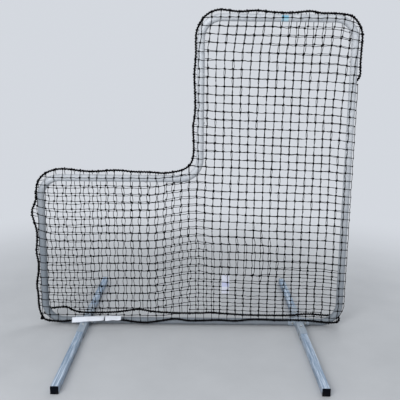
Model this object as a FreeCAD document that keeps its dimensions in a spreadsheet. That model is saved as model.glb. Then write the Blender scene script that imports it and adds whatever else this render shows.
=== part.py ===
import FreeCAD, Part
import Sketcher
import math
import os

# Pitcher's L-screen: a frame of round tube in the shape of an L, dressed with two layers of
# knotted net and standing on two square-tube skids. Everything is in millimetres. The origin
# is on the ground at the middle of the whole object, +X to the viewer's right, +Y away from
# the viewer, +Z up.

doc = FreeCAD.newDocument("pitching_screen")
sheet = doc.addObject("Spreadsheet::Sheet", "Sizes")

SIZES = [
    # Frame, a loop of round tube
    ("tube_od", 41.3, "outside diameter of the frame tube"),
    ("tube_wall", 1.65, "wall of the frame tube"),
    ("frame_width", 1828.8, "frame width over the tubes"),
    ("frame_height", 1828.8, "frame height over the tubes"),
    ("low_side_height", 923.3, "height over the tubes of the low side"),
    ("tall_side_width", 899.0, "width over the tubes of the tall side"),
    ("bend_radius", 114.3, "centre-line radius of every bend"),
    ("lower_left_leg", 276.0, "lower left bend, corner to post joint"),
    ("left_post_length", 287.0, "straight left post between its joints"),
    ("shoulder_rail_leg", 585.0, "shoulder bend, corner to rail joint"),
    ("inner_post_leg", 294.0, "inside corner, corner to post joint"),
    ("upper_left_rail_leg", 215.0, "upper left bend, corner to rail joint"),
    ("top_rail_length", 450.0, "straight top rail between its joints"),
    ("lower_right_leg", 524.0, "lower right bend, corner to post joint"),
    ("upper_right_leg", 262.0, "upper right bend, corner to post joint"),
    ("slip_length", 60.0, "length of a swaged end inside its socket"),
    ("slip_shoulder", 4.0, "length of the taper into a swaged end"),
    ("slip_clearance", 0.3, "radial gap round a swaged end"),
    # Skid connectors, a square sleeve welded across a round collar
    ("collar_wall", 3.0, "wall of the round collar"),
    ("collar_clearance", 0.35, "radial gap between collar and frame tube"),
    ("collar_length", 128.0, "length of the round collar"),
    ("collar_pipe_gap", 6.0, "gap between the two tube ends in a collar"),
    ("sleeve_wall", 1.65, "wall of the square sleeve"),
    ("sleeve_clearance", 0.3, "gap on each side of a skid in its sleeve"),
    ("sleeve_length", 420.0, "length of the square sleeve, front to back"),
    ("skid_spacing", 1296.0, "distance between the skid centre lines"),
    # Skids
    ("skid_size", 38.1, "side of the square skid tube"),
    ("skid_wall", 2.0, "wall of the skid tube"),
    ("skid_corner", 3.0, "outer corner radius of the skid tube"),
    ("skid_inset", 34.0, "frame centre to the inner end of a skid"),
    ("front_reach", 830.0, "frame centre to the front of the end caps"),
    ("rear_reach", 752.0, "frame centre to the back of the end caps"),
    # End caps
    ("cap_overhang", 0.7, "how far a cap's head stands past the tube"),
    ("cap_head", 5.0, "thickness of a cap's head"),
    ("cap_edge", 1.6, "rounding of a cap's outer edge"),
    ("cap_plug_depth", 22.0, "how far a cap's plug goes in"),
    ("cap_plug_wall", 2.2, "wall of a cap's plug"),
    ("cap_plug_gap", 0.2, "gap on each side of a cap's plug"),
    # Fasteners
    ("screw_shank", 4.8, "diameter of a frame screw"),
    ("screw_flange", 10.4, "diameter of a frame screw's washer face"),
    ("screw_flange_height", 1.1, "height of a frame screw's washer face"),
    ("screw_hex", 8.0, "frame screw's hexagon over its flats"),
    ("screw_hex_height", 3.6, "height of a frame screw's hexagon"),
    ("screw_grip", 9.0, "length of a frame screw under its head"),
    ("bolt_shank", 6.3, "diameter of a skid or collar bolt"),
    ("bolt_flange", 13.0, "diameter of a bolt's washer face"),
    ("bolt_flange_height", 1.4, "height of a bolt's washer face"),
    ("bolt_hex", 10.0, "bolt's hexagon over its flats"),
    ("bolt_hex_height", 5.0, "height of a bolt's hexagon"),
    ("bolt_grip", 10.0, "length of a bolt under its head"),
    ("hole_clearance", 0.15, "radial gap round a screw or bolt"),
    ("skid_bolt_offset", 110.0, "frame centre to a skid bolt"),
    ("collar_bolt_offset", 38.0, "collar centre to a collar bolt"),
    # Net, two flat layers that cover the frame's front and back
    ("net_pitch", 95.25, "spacing of the net's drawn twines"),
    ("twine", 3.0, "thickness of the net's twine"),
    ("net_gap", 0.3, "gap between the net and the tubes"),
    ("net_lift", 50.0, "height of the net's lower edge"),
    ("net_seam", 0.5, "gap between the net's tall and low parts"),
    # Ropes and what hangs on the net
    ("rope", 11.0, "diameter of the border rope"),
    ("bottom_rope_out", 30.0, "frame centre to a bottom rope"),
    ("rope_behind_step", 4.0, "right post's centre to the rope behind it"),
    ("label_rope_out", 28.0, "how much further out the rope runs under the labels"),
    ("label_rope_lift", 9.0, "skid sleeve's top to the rope under the labels"),
    ("label_height", 33.0, "height of the sewn labels"),
    ("label_thickness", 0.8, "thickness of the sewn labels"),
    ("long_label_length", 191.0, "length of the long label"),
    ("short_label_length", 96.0, "length of the short label"),
    ("label_side_step", 21.0, "left skid to the middle of the long label"),
    ("long_label_tilt", 45.0, "tilt of the long label, in degrees"),
    ("short_label_tilt", 50.0, "tilt of the short label, in degrees"),
    ("knot_diameter", 16.0, "diameter of the tie round the rope"),
    ("knot_length", 6.0, "length of the tie round the rope"),
    ("trim_gap", 0.3, "gap between a label or tie and its rope"),
    ("sticker_size", 38.0, "side of the square sticker"),
    ("sticker_thickness", 0.15, "thickness of the sticker"),
    ("sticker_gap", 0.05, "gap under the sticker"),
    ("sticker_place", 460.0, "tall post's centre to the sticker's centre"),
    ("sticker_lean", 12.0, "how far the sticker is turned down from the front, in degrees"),
    ("tag_width", 45.0, "width of the hang tag"),
    ("tag_length", 115.0, "length of the hang tag"),
    ("tag_thickness", 0.8, "thickness of the hang tag"),
    ("tag_hole", 5.0, "diameter of the hang tag's hole"),
    ("tag_hole_drop", 5.0, "tag's top edge to its hole's centre"),
    ("tag_side_step", 19.0, "hang tag's centre line to the net twine at its right"),
    ("tag_behind_net", 1.05, "front net's back to the middle of the hang tag"),
    ("loop_radius", 7.2, "radius of the tag's loop"),
    ("loop_drop", 3.0, "net twine to the loop's centre"),
    ("loop_wire", 1.6, "thickness of the tag's loop"),
]

for row, (alias, number, meaning) in enumerate(SIZES, start=1):
    sheet.set(f"A{row}", meaning)
    sheet.set(f"B{row}", str(number))
    sheet.setAlias(f"B{row}", alias)
doc.recompute()


def value(expression):
    return float(sheet.evalExpression(expression))


def cell(alias):
    return f"Sizes.{alias}"


# Places that several pieces share, each worked out from the sheet

TUBE_R = "Sizes.tube_od / 2"
BORE_R = "(Sizes.tube_od / 2 - Sizes.tube_wall)"
SWAGE_R = "(Sizes.tube_od / 2 - Sizes.tube_wall - Sizes.slip_clearance)"
SWAGE_BORE_R = "(Sizes.tube_od / 2 - 2 * Sizes.tube_wall - Sizes.slip_clearance)"
COLLAR_R = "(Sizes.tube_od / 2 + Sizes.collar_clearance + Sizes.collar_wall)"
SLEEVE = "(Sizes.skid_size + 2 * Sizes.sleeve_clearance + 2 * Sizes.sleeve_wall)"

PLANE_Y = "((Sizes.front_reach - Sizes.rear_reach) / 2)"
RAIL_Z = COLLAR_R
TOP_Z = f"({RAIL_Z} + Sizes.frame_height - Sizes.tube_od)"
LOW_Z = f"({RAIL_Z} + Sizes.low_side_height - Sizes.tube_od)"
RIGHT_X = "((Sizes.frame_width - Sizes.tube_od) / 2)"
LEFT_X = f"(-{RIGHT_X})"
TALL_X = f"({RIGHT_X} - Sizes.tall_side_width + Sizes.tube_od)"
SKID_X = "(Sizes.skid_spacing / 2)"
SKID_Z = f"({SLEEVE} / 2)"
LEFT_JOINT_Z = f"({RAIL_Z} + Sizes.lower_left_leg)"
POST_TOP_Z = f"({LEFT_JOINT_Z} + Sizes.left_post_length)"
LOW_JOINT_X = f"({LEFT_X} + Sizes.shoulder_rail_leg)"
TALL_JOINT_Z = f"({LOW_Z} + Sizes.inner_post_leg)"
TOP_JOINT_X = f"({TALL_X} + Sizes.upper_left_rail_leg)"
TOP_END_X = f"({TOP_JOINT_X} + Sizes.top_rail_length)"
RIGHT_JOINT_Z = f"({RAIL_Z} + Sizes.lower_right_leg)"
RIGHT_TOP_Z = f"({TOP_Z} - Sizes.upper_right_leg)"
COLLAR_LEG = f"({RIGHT_X} - {SKID_X} - Sizes.collar_pipe_gap / 2)"
NET_Y = f"({TUBE_R} + Sizes.net_gap)"

HALF_SLIP = "(Sizes.slip_length / 2)"


# Helpers for sketches and bodies

def plane(body, role):
    return next(f for f in body.Origin.OriginFeatures if f.Role == role)


def new_sketch(body, name, role, lift=None):
    sketch = body.newObject("Sketcher::SketchObject", name)
    sketch.AttachmentSupport = (plane(body, role), [""])
    sketch.MapMode = "FlatFace"
    if lift:
        sketch.AttachmentOffset = FreeCAD.Placement(
            FreeCAD.Vector(0, 0, value(lift)), FreeCAD.Rotation())
        sketch.setExpression("AttachmentOffset.Base.z", lift)
    return sketch


def bind(sketch, kind, *args, to):
    index = sketch.addConstraint(Sketcher.Constraint(kind, *args, value(to)))
    sketch.setExpression(f"Constraints[{index}]", to)


def pin_point(sketch, line, end, x, z):
    # Ties one end of a line to the sketch's origin by two distances.
    for kind, axis, place in (("DistanceX", -2, x), ("DistanceY", -1, z)):
        number = value(place)
        if abs(number) < 1e-9:
            sketch.addConstraint(Sketcher.Constraint("PointOnObject", line, end, axis))
        elif number > 0:
            bind(sketch, kind, -1, 1, line, end, to=place)
        else:
            bind(sketch, kind, line, end, -1, 1, to=f"-({place})")


def polygon(sketch, corners):
    points = [FreeCAD.Vector(value(x), value(z), 0) for x, z in corners]
    count = len(points)
    lines = [sketch.addGeometry(Part.LineSegment(points[i], points[(i + 1) % count]), False)
             for i in range(count)]
    for i in range(count):
        sketch.addConstraint(
            Sketcher.Constraint("Coincident", lines[i], 2, lines[(i + 1) % count], 1))
    for line, (x, z) in zip(lines, corners):
        pin_point(sketch, line, 1, x, z)


def square(sketch, side):
    half = f"({side}) / 2"
    polygon(sketch, [(f"-{half}", f"-{half}"), (half, f"-{half}"),
                     (half, half), (f"-{half}", half)])


def ring(sketch, radii):
    for radius in radii:
        circle = sketch.addGeometry(
            Part.Circle(FreeCAD.Vector(0, 0, 0), FreeCAD.Vector(0, 0, 1), value(radius)), False)
        sketch.addConstraint(Sketcher.Constraint("Coincident", circle, 3, -1, 1))
        bind(sketch, "Radius", circle, to=radius)


def new_body(label, x="0", y=PLANE_Y, z="0", turn=None):
    body = doc.addObject("PartDesign::Body", label)
    body.Label = label
    body.Placement = FreeCAD.Placement(
        FreeCAD.Vector(value(x), value(y), value(z)), turn or FreeCAD.Rotation())
    for axis, place in (("x", x), ("y", y), ("z", z)):
        body.setExpression(f"Placement.Base.{axis}", place)
    return body


def revolve(body, name, corners, axis):
    sketch = new_sketch(body, name + "_profile", "XZ_Plane")
    polygon(sketch, corners)
    turned = body.newObject("PartDesign::Revolution", name)
    turned.Profile = sketch
    turned.ReferenceAxis = (sketch, [axis])
    turned.Angle = 360.0
    doc.recompute()
    return turned


def swaged_end(joint, outward, radial_first):
    # Corners of a swaged end's wall. The tube tapers just before the joint and goes on past
    # it into the next tube's socket; outward is the way the end points along its axis.
    inward = "-" if outward == "+" else "+"
    shoulder = f"{joint} {inward} Sizes.slip_shoulder"
    tip = f"{joint} {outward} Sizes.slip_length"
    corners = [(BORE_R, shoulder), (TUBE_R, shoulder), (SWAGE_R, joint), (SWAGE_R, tip),
               (SWAGE_BORE_R, tip), (SWAGE_BORE_R, joint)]
    return corners if radial_first else [(along, radius) for radius, along in corners]


def drill(body, name, role, across, along, shank, positive):
    # One round hole from the tube's centre line out through its wall on one side.
    sketch = new_sketch(body, name + "_centre", role)
    x, z = value(across), value(along)
    circle = sketch.addGeometry(
        Part.Circle(FreeCAD.Vector(x, z, 0), FreeCAD.Vector(0, 0, 1), value(shank) / 2), False)
    pin_point(sketch, circle, 3, across, along)
    bind(sketch, "Radius", circle, to=f"{shank} / 2 + Sizes.hole_clearance")
    doc.recompute()
    before = body.Shape.Volume
    pocket = body.newObject("PartDesign::Pocket", name)
    pocket.Profile = sketch
    pocket.Type = "ThroughAll"
    pocket.Reversed = positive
    doc.recompute()
    assert body.Shape.Volume < before - 1, f"{body.Label} {name} cut nothing"
    return pocket


# Bent tubes: the corner of the centre lines is at the body's origin, one leg runs down from
# it, the other to the right, and a turn about Y gives the other three corners of the frame

def elbow(label, x, z, quarter_turns, down, right, down_end, right_end, screw_side=1):
    body = new_body(label, x=x, z=z,
                    turn=FreeCAD.Rotation(FreeCAD.Vector(0, 1, 0), 90 * quarter_turns))
    down_pipe = f"({down} - Sizes.slip_shoulder)" if down_end == "swaged" else down
    right_pipe = f"({right} - Sizes.slip_shoulder)" if right_end == "swaged" else right
    leg, run, r = value(down_pipe), value(right_pipe), value(cell("bend_radius"))
    path = new_sketch(body, label + "_path", "XZ_Plane")
    V = FreeCAD.Vector
    path.addGeometry(Part.LineSegment(V(0, -leg, 0), V(0, -r, 0)), False)
    bend = Part.Circle(V(r, -r, 0), V(0, 0, 1), r)
    path.addGeometry(Part.ArcOfCircle(bend, math.pi / 2, math.pi), False)
    path.addGeometry(Part.LineSegment(V(r, 0, 0), V(run, 0, 0)), False)
    path.addConstraint(Sketcher.Constraint("Tangent", 0, 2, 1, 2))
    path.addConstraint(Sketcher.Constraint("Tangent", 1, 1, 2, 1))
    path.addConstraint(Sketcher.Constraint("PointOnObject", 0, 1, -2))
    path.addConstraint(Sketcher.Constraint("PointOnObject", 0, 2, -2))
    path.addConstraint(Sketcher.Constraint("PointOnObject", 2, 1, -1))
    path.addConstraint(Sketcher.Constraint("PointOnObject", 2, 2, -1))
    bind(path, "Radius", 1, to=cell("bend_radius"))
    bind(path, "DistanceY", 0, 1, -1, 1, to=down_pipe)
    bind(path, "DistanceX", -1, 1, 2, 2, to=right_pipe)
    section = new_sketch(body, label + "_section", "XY_Plane", lift=f"-({down_pipe})")
    ring(section, (TUBE_R, BORE_R))
    doc.recompute()
    tube = body.newObject("PartDesign::AdditivePipe", label + "_tube")
    tube.Profile = section
    tube.Spine = (path, ["Edge1", "Edge2", "Edge3"])
    doc.recompute()
    if down_end == "swaged":
        revolve(body, label + "_down_swage", swaged_end(f"-({down})", "-", True), "V_Axis")
    if right_end == "swaged":
        revolve(body, label + "_right_swage", swaged_end(right, "+", False), "H_Axis")
    shank = cell("screw_shank")
    if down_end != "plain":
        sign = "-" if down_end == "swaged" else "+"
        drill(body, label + "_down_hole", "YZ_Plane", "0", f"-({down}) {sign} {HALF_SLIP}",
              shank, positive=screw_side > 0)
    if right_end != "plain":
        sign = "+" if right_end == "swaged" else "-"
        drill(body, label + "_right_hole", "XY_Plane", f"{right} {sign} {HALF_SLIP}", "0",
              shank, positive=screw_side < 0)
    return body


def straight(label, x, z, quarter_turns, length, screw_side=1):
    # A straight tube with a socket at its start and a swaged end at its far end.
    body = new_body(label, x=x, z=z,
                    turn=FreeCAD.Rotation(FreeCAD.Vector(0, 1, 0), 90 * quarter_turns))
    swage = swaged_end(f"({length})", "+", True)
    revolve(body, label + "_tube", [(BORE_R, "0"), (TUBE_R, "0")] + swage[1:] + swage[:1],
            "V_Axis")
    shank = cell("screw_shank")
    drill(body, label + "_socket_hole", "YZ_Plane", "0", HALF_SLIP, shank,
          positive=screw_side > 0)
    drill(body, label + "_swage_hole", "YZ_Plane", "0", f"{length} + {HALF_SLIP}", shank,
          positive=screw_side > 0)
    return body


# The frame, taken clockwise from the lower left corner

elbow("lower_left_corner", LEFT_X, RAIL_Z, 3, COLLAR_LEG, cell("lower_left_leg"),
      "plain", "swaged")
straight("left_post", LEFT_X, LEFT_JOINT_Z, 0, cell("left_post_length"))
elbow("low_shoulder", LEFT_X, LOW_Z, 0, f"({LOW_Z} - {POST_TOP_Z})",
      cell("shoulder_rail_leg"), "socket", "swaged")
elbow("inner_corner", TALL_X, LOW_Z, 2, cell("inner_post_leg"),
      f"({TALL_X} - {LOW_JOINT_X})", "swaged", "socket", screw_side=-1)
elbow("upper_left_corner", TALL_X, TOP_Z, 0, f"({TOP_Z} - {TALL_JOINT_Z})",
      cell("upper_left_rail_leg"), "socket", "swaged")
straight("top_rail", TOP_JOINT_X, TOP_Z, 1, cell("top_rail_length"))
elbow("upper_right_corner", RIGHT_X, TOP_Z, 1, f"({RIGHT_X} - {TOP_END_X})",
      cell("upper_right_leg"), "socket", "socket")
straight("right_post", RIGHT_X, RIGHT_JOINT_Z, 0, f"({RIGHT_TOP_Z} - {RIGHT_JOINT_Z})",
         screw_side=-1)
elbow("lower_right_corner", RIGHT_X, RAIL_Z, 2, cell("lower_right_leg"), COLLAR_LEG,
      "swaged", "plain")

bottom_length = f"({SKID_X} * 2 - Sizes.collar_pipe_gap)"
bottom_rail = new_body("bottom_rail", x=f"-{bottom_length} / 2", z=RAIL_Z,
                       turn=FreeCAD.Rotation(FreeCAD.Vector(0, 1, 0), 90))
revolve(bottom_rail, "bottom_rail_tube",
        [(BORE_R, "0"), (TUBE_R, "0"), (TUBE_R, bottom_length), (BORE_R, bottom_length)],
        "V_Axis")

# Collar bolts go through the front of the two tube ends that meet in each collar

corner_to_bolt = f"({RIGHT_X} - {SKID_X} - Sizes.collar_bolt_offset)"
rail_end_to_bolt = "(Sizes.collar_bolt_offset - Sizes.collar_pipe_gap / 2)"
for tube_name, hole_name, across, along in (
        ("lower_left_corner", "collar_hole", "0", f"-{corner_to_bolt}"),
        ("lower_right_corner", "collar_hole", corner_to_bolt, "0"),
        ("bottom_rail", "left_hole", "0", rail_end_to_bolt),
        ("bottom_rail", "right_hole", "0", f"({bottom_length} - {rail_end_to_bolt})")):
    drill(doc.getObject(tube_name), f"{tube_name}_{hole_name}", "XZ_Plane", across, along,
          cell("bolt_shank"), positive=True)


# Primitives and booleans for the connectors, screws and small pieces

def primitive(kind, name, place=("0", "0", "0"), turn=None, **dims):
    thing = doc.addObject(f"Part::{kind}", name)
    thing.Placement = FreeCAD.Placement(
        FreeCAD.Vector(*[value(p) for p in place]), turn or FreeCAD.Rotation())
    for axis, where in zip("xyz", place):
        thing.setExpression(f"Placement.Base.{axis}", where)
    for prop, expression in dims.items():
        thing.setExpression(prop, expression)
    return thing


def box(name, low, size):
    return primitive("Box", name, place=low, Length=size[0], Width=size[1], Height=size[2])


def cylinder(name, place, turn, radius, height):
    return primitive("Cylinder", name, place=place, turn=turn, Radius=radius, Height=height)


def cut(name, base, tools):
    joined = tools[0]
    if len(tools) > 1:
        joined = doc.addObject("Part::MultiFuse", name + "_tools")
        joined.Shapes = tools
    result = doc.addObject("Part::Cut", name)
    result.Base = base
    result.Tool = joined
    return result


ALONG_X = FreeCAD.Rotation(FreeCAD.Vector(0, 1, 0), 90)
TOWARDS_FRONT = FreeCAD.Rotation(FreeCAD.Vector(1, 0, 0), 90)
TOWARDS_LEFT = FreeCAD.Rotation(FreeCAD.Vector(0, 1, 0), -90)
UPRIGHT = FreeCAD.Rotation()
DOWNWARD = FreeCAD.Rotation(FreeCAD.Vector(1, 0, 0), 180)


# Skid connectors

def connector(label, side):
    x = f"({side} * {SKID_X})"
    half = f"{SLEEVE} / 2"
    wall = cell("sleeve_wall")
    bore = f"({SLEEVE} - 2 * Sizes.sleeve_wall)"
    depth = f"(Sizes.sleeve_length / 2 - {COLLAR_R})"
    sleeve = box(label + "_sleeve",
                 (f"{x} - {half}", f"{PLANE_Y} - Sizes.sleeve_length / 2", "0"),
                 (SLEEVE, cell("sleeve_length"), SLEEVE))
    collar = cylinder(label + "_collar",
                      (f"{x} - Sizes.collar_length / 2", PLANE_Y, RAIL_Z), ALONG_X,
                      COLLAR_R, cell("collar_length"))
    outer = doc.addObject("Part::Fuse", label + "_outer")
    outer.Base = sleeve
    outer.Tool = collar
    front = box(label + "_front_bore",
                (f"{x} - {half} + {wall}", f"{PLANE_Y} - Sizes.sleeve_length / 2", wall),
                (bore, depth, bore))
    rear = box(label + "_rear_bore",
               (f"{x} - {half} + {wall}", f"{PLANE_Y} + {COLLAR_R}", wall),
               (bore, depth, bore))
    tools = [front, rear,
             cylinder(label + "_pipe_bore",
                      (f"{x} - Sizes.collar_length / 2", PLANE_Y, RAIL_Z), ALONG_X,
                      f"{TUBE_R} + Sizes.collar_clearance", cell("collar_length"))]
    hole = "Sizes.bolt_shank / 2 + Sizes.hole_clearance"
    for name, sign in (("front", "-"), ("rear", "+")):
        tools.append(cylinder(f"{label}_{name}_hole",
                              (x, f"{PLANE_Y} {sign} Sizes.skid_bolt_offset", half), UPRIGHT,
                              hole, SLEEVE))
    for name, sign in (("left", "-"), ("right", "+")):
        tools.append(cylinder(f"{label}_{name}_collar_hole",
                              (f"{x} {sign} Sizes.collar_bolt_offset", PLANE_Y, RAIL_Z),
                              TOWARDS_FRONT, hole, SLEEVE))
    return cut(label, outer, tools)


connector("left_skid_connector", "-1")
connector("right_skid_connector", "1")


# Skids, half a skid in each end of a sleeve

def skid(label, side, reach, rear):
    turn = FreeCAD.Rotation(FreeCAD.Vector(0, 0, 1), 180 if rear else 0)
    sign = "+" if rear else "-"
    body = new_body(label, x=f"{side} * {SKID_X}", y=f"{PLANE_Y} {sign} Sizes.skid_inset",
                    z=SKID_Z, turn=turn)
    outline = new_sketch(body, label + "_outline", "XZ_Plane")
    square(outline, cell("skid_size"))
    bar = body.newObject("PartDesign::Pad", label + "_bar")
    bar.Profile = outline
    bar.setExpression("Length", f"{reach} - Sizes.skid_inset - Sizes.cap_head")
    doc.recompute()
    long_edges = [f"Edge{i + 1}" for i, e in enumerate(bar.Shape.Edges)
                  if abs(e.tangentAt(e.FirstParameter).y) > 0.99]
    rounded = body.newObject("PartDesign::Fillet", label + "_corners")
    rounded.Base = (bar, long_edges)
    rounded.setExpression("Radius", cell("skid_corner"))
    doc.recompute()
    hollow = new_sketch(body, label + "_bore_outline", "XZ_Plane")
    square(hollow, "Sizes.skid_size - 2 * Sizes.skid_wall")
    before = body.Shape.Volume
    bore = body.newObject("PartDesign::Pocket", label + "_bore")
    bore.Profile = hollow
    bore.Type = "ThroughAll"
    bore.Reversed = True
    doc.recompute()
    assert body.Shape.Volume < before / 2, f"{label} stayed full"
    drill(body, label + "_bolt_hole", "XY_Plane", "0",
          "Sizes.skid_inset - Sizes.skid_bolt_offset", cell("bolt_shank"), positive=True)


def end_cap(label, side, reach, rear):
    turn = FreeCAD.Rotation(FreeCAD.Vector(0, 0, 1), 180 if rear else 0)
    sign = "+" if rear else "-"
    body = new_body(label, x=f"{side} * {SKID_X}",
                    y=f"{PLANE_Y} {sign} ({reach} - Sizes.cap_head)", z=SKID_Z, turn=turn)
    outline = new_sketch(body, label + "_outline", "XZ_Plane")
    square(outline, "Sizes.skid_size + 2 * Sizes.cap_overhang")
    head = body.newObject("PartDesign::Pad", label + "_head")
    head.Profile = outline
    head.setExpression("Length", cell("cap_head"))
    doc.recompute()
    far = -value(cell("cap_head"))
    edges = [f"Edge{i + 1}" for i, e in enumerate(head.Shape.Edges)
             if abs(e.tangentAt(e.FirstParameter).y) > 0.99
             or abs(e.CenterOfMass.y - far) < 1e-6]
    rounded = body.newObject("PartDesign::Fillet", label + "_edges")
    rounded.Base = (head, edges)
    rounded.setExpression("Radius", cell("cap_edge"))
    doc.recompute()
    plug_side = "Sizes.skid_size - 2 * Sizes.skid_wall - 2 * Sizes.cap_plug_gap"
    plug_outline = new_sketch(body, label + "_plug_outline", "XZ_Plane")
    square(plug_outline, plug_side)
    square(plug_outline, f"{plug_side} - 2 * Sizes.cap_plug_wall")
    plug = body.newObject("PartDesign::Pad", label + "_plug")
    plug.Profile = plug_outline
    plug.Reversed = True
    plug.setExpression("Length", cell("cap_plug_depth"))
    doc.recompute()


for side_name, side_sign in (("left", "-1"), ("right", "1")):
    skid(f"{side_name}_front_skid", side_sign, cell("front_reach"), rear=False)
    skid(f"{side_name}_rear_skid", side_sign, cell("rear_reach"), rear=True)
    end_cap(f"{side_name}_front_cap", side_sign, cell("front_reach"), rear=False)
    end_cap(f"{side_name}_rear_cap", side_sign, cell("rear_reach"), rear=True)


# Screws and bolts: a hexagon on a washer face, with its shank behind. Each is built at its
# seat, where the washer face meets the tube, and turned to point its head outward

def fastener(name, family, place, turn):
    axis = turn.multVec(FreeCAD.Vector(0, 0, 1))
    flange = cell(family + "_flange_height")
    grip = cell(family + "_grip")

    def along(distance):
        steps = []
        for where, part in zip(place, axis):
            steps.append(f"{where} + {round(part)} * ({distance})" if round(part) else where)
        return tuple(steps)

    washer = cylinder(name + "_washer", place, turn, cell(family + "_flange") + " / 2", flange)
    head = primitive("Prism", name + "_hexagon", place=along(flange), turn=turn,
                     Circumradius=f"Sizes.{family}_hex / sqrt(3)",
                     Height=cell(family + "_hex_height"))
    head.Polygon = 6
    shank = cylinder(name + "_shank", along(f"-{grip}"), turn,
                     cell(family + "_shank") + " / 2", grip)
    whole = doc.addObject("Part::MultiFuse", name)
    whole.Shapes = [washer, head, shank]
    return whole


def group(label, members):
    together = doc.addObject("Part::Compound", label)
    together.Label = label
    together.Links = members


group("frame_screws", [
    fastener("left_low_screw", "screw",
             (f"{LEFT_X} + {TUBE_R}", PLANE_Y, f"{LEFT_JOINT_Z} + {HALF_SLIP}"), ALONG_X),
    fastener("left_high_screw", "screw",
             (f"{LEFT_X} + {TUBE_R}", PLANE_Y, f"{POST_TOP_Z} + {HALF_SLIP}"), ALONG_X),
    fastener("low_rail_screw", "screw",
             (f"{LOW_JOINT_X} + {HALF_SLIP}", PLANE_Y, f"{LOW_Z} - {TUBE_R}"), DOWNWARD),
    fastener("tall_post_screw", "screw",
             (f"{TALL_X} + {TUBE_R}", PLANE_Y, f"{TALL_JOINT_Z} + {HALF_SLIP}"), ALONG_X),
    fastener("top_left_screw", "screw",
             (f"{TOP_JOINT_X} + {HALF_SLIP}", PLANE_Y, f"{TOP_Z} - {TUBE_R}"), DOWNWARD),
    fastener("top_right_screw", "screw",
             (f"{TOP_END_X} + {HALF_SLIP}", PLANE_Y, f"{TOP_Z} - {TUBE_R}"), DOWNWARD),
    fastener("right_high_screw", "screw",
             (f"{RIGHT_X} - {TUBE_R}", PLANE_Y, f"{RIGHT_TOP_Z} + {HALF_SLIP}"),
             TOWARDS_LEFT),
    fastener("right_low_screw", "screw",
             (f"{RIGHT_X} - {TUBE_R}", PLANE_Y, f"{RIGHT_JOINT_Z} + {HALF_SLIP}"),
             TOWARDS_LEFT),
])
group("skid_bolts", [
    fastener(f"{side_name}_{end_name}_skid_bolt", "bolt",
             (f"{side} * {SKID_X}", f"{PLANE_Y} {end} Sizes.skid_bolt_offset", SLEEVE), UPRIGHT)
    for side_name, side in (("left", "-1"), ("right", "1"))
    for end_name, end in (("front", "-"), ("rear", "+"))
])
group("collar_bolts", [
    fastener(f"{side_name}_{end_name}_collar_bolt", "bolt",
             (f"{side} * {SKID_X} {end} Sizes.collar_bolt_offset",
              f"{PLANE_Y} - {COLLAR_R}", RAIL_Z), TOWARDS_FRONT)
    for side_name, side in (("left", "-1"), ("right", "1"))
    for end_name, end in (("left", "-"), ("right", "+"))
])


# Net layers: one flat face each, with a hole for every gap, as thick as the twine. The tall
# part covers the tall side from top to bottom, the low part the rest under the low rail

def outline_wire(low, high, rounded, radius):
    # A rectangle in XZ whose named corners are rounded; corners run from the lower left.
    corners = [(low[0], low[1]), (high[0], low[1]), (high[0], high[1]), (low[0], high[1])]
    steps = [(1, 0), (0, 1), (-1, 0), (0, -1)]
    edges = []
    starts = []
    for i, (x, z) in enumerate(corners):
        before, after = steps[i - 1], steps[i]
        r = radius if i in rounded else 0
        entry = FreeCAD.Vector(x - before[0] * r, 0, z - before[1] * r)
        leave = FreeCAD.Vector(x + after[0] * r, 0, z + after[1] * r)
        if r:
            centre = FreeCAD.Vector(x - before[0] * r + after[0] * r, 0,
                                    z - before[1] * r + after[1] * r)
            corner = FreeCAD.Vector(x, 0, z)
            middle = centre + (corner - centre).normalize() * r
            edges.append(Part.Arc(entry, middle, leave).toShape())
        starts.append((entry, leave))
    for i in range(4):
        edges.append(Part.LineSegment(starts[i][1], starts[(i + 1) % 4][0]).toShape())
    return Part.Wire(Part.__sortEdges__(edges))


def net_layer(label, low, high, rounded, front):
    twine = value(cell("twine"))
    pitch = value(cell("net_pitch"))
    radius = value(cell("bend_radius")) + value(TUBE_R)
    outer = outline_wire(low, high, rounded, radius)
    inset = outline_wire((low[0] + twine, low[1] + twine), (high[0] - twine, high[1] - twine),
                         rounded, radius - twine)
    inside = Part.Face(inset)
    columns = round((high[0] - low[0]) / pitch)
    rows = round((high[1] - low[1]) / pitch)
    step_x = (high[0] - low[0] - twine) / columns
    step_z = (high[1] - low[1] - twine) / rows
    holes = []
    for column in range(columns):
        for row in range(rows):
            x = low[0] + twine + column * step_x
            z = low[1] + twine + row * step_z
            gap = Part.makePlane(step_x - twine, step_z - twine, FreeCAD.Vector(x, 0, z),
                                 FreeCAD.Vector(0, -1, 0), FreeCAD.Vector(1, 0, 0))
            near_side = column in (0, 1, columns - 2, columns - 1)
            near_end = row in (0, 1, rows - 2, rows - 1)
            if not (near_side and near_end):
                holes.append(gap.OuterWire)
                continue
            kept = gap.common(inside)
            holes += [face.OuterWire for face in kept.Faces if face.Area > 4 * twine * twine]
    face = Part.Face([outer] + holes)
    if not face.isValid():
        face.fix(1e-4, 1e-4, 1e-3)
    start = -value(NET_Y) - twine if front else value(NET_Y)
    face.translate(FreeCAD.Vector(0, value(PLANE_Y) + start, 0))
    solid = face.extrude(FreeCAD.Vector(0, twine, 0))
    layer = doc.addObject("Part::Feature", label)
    layer.Label = label
    layer.Shape = solid
    print(label, len(holes), "gaps,", columns, "x", rows,
          "step", round(step_x, 1), round(step_z, 1))
    return step_x, step_z


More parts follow.
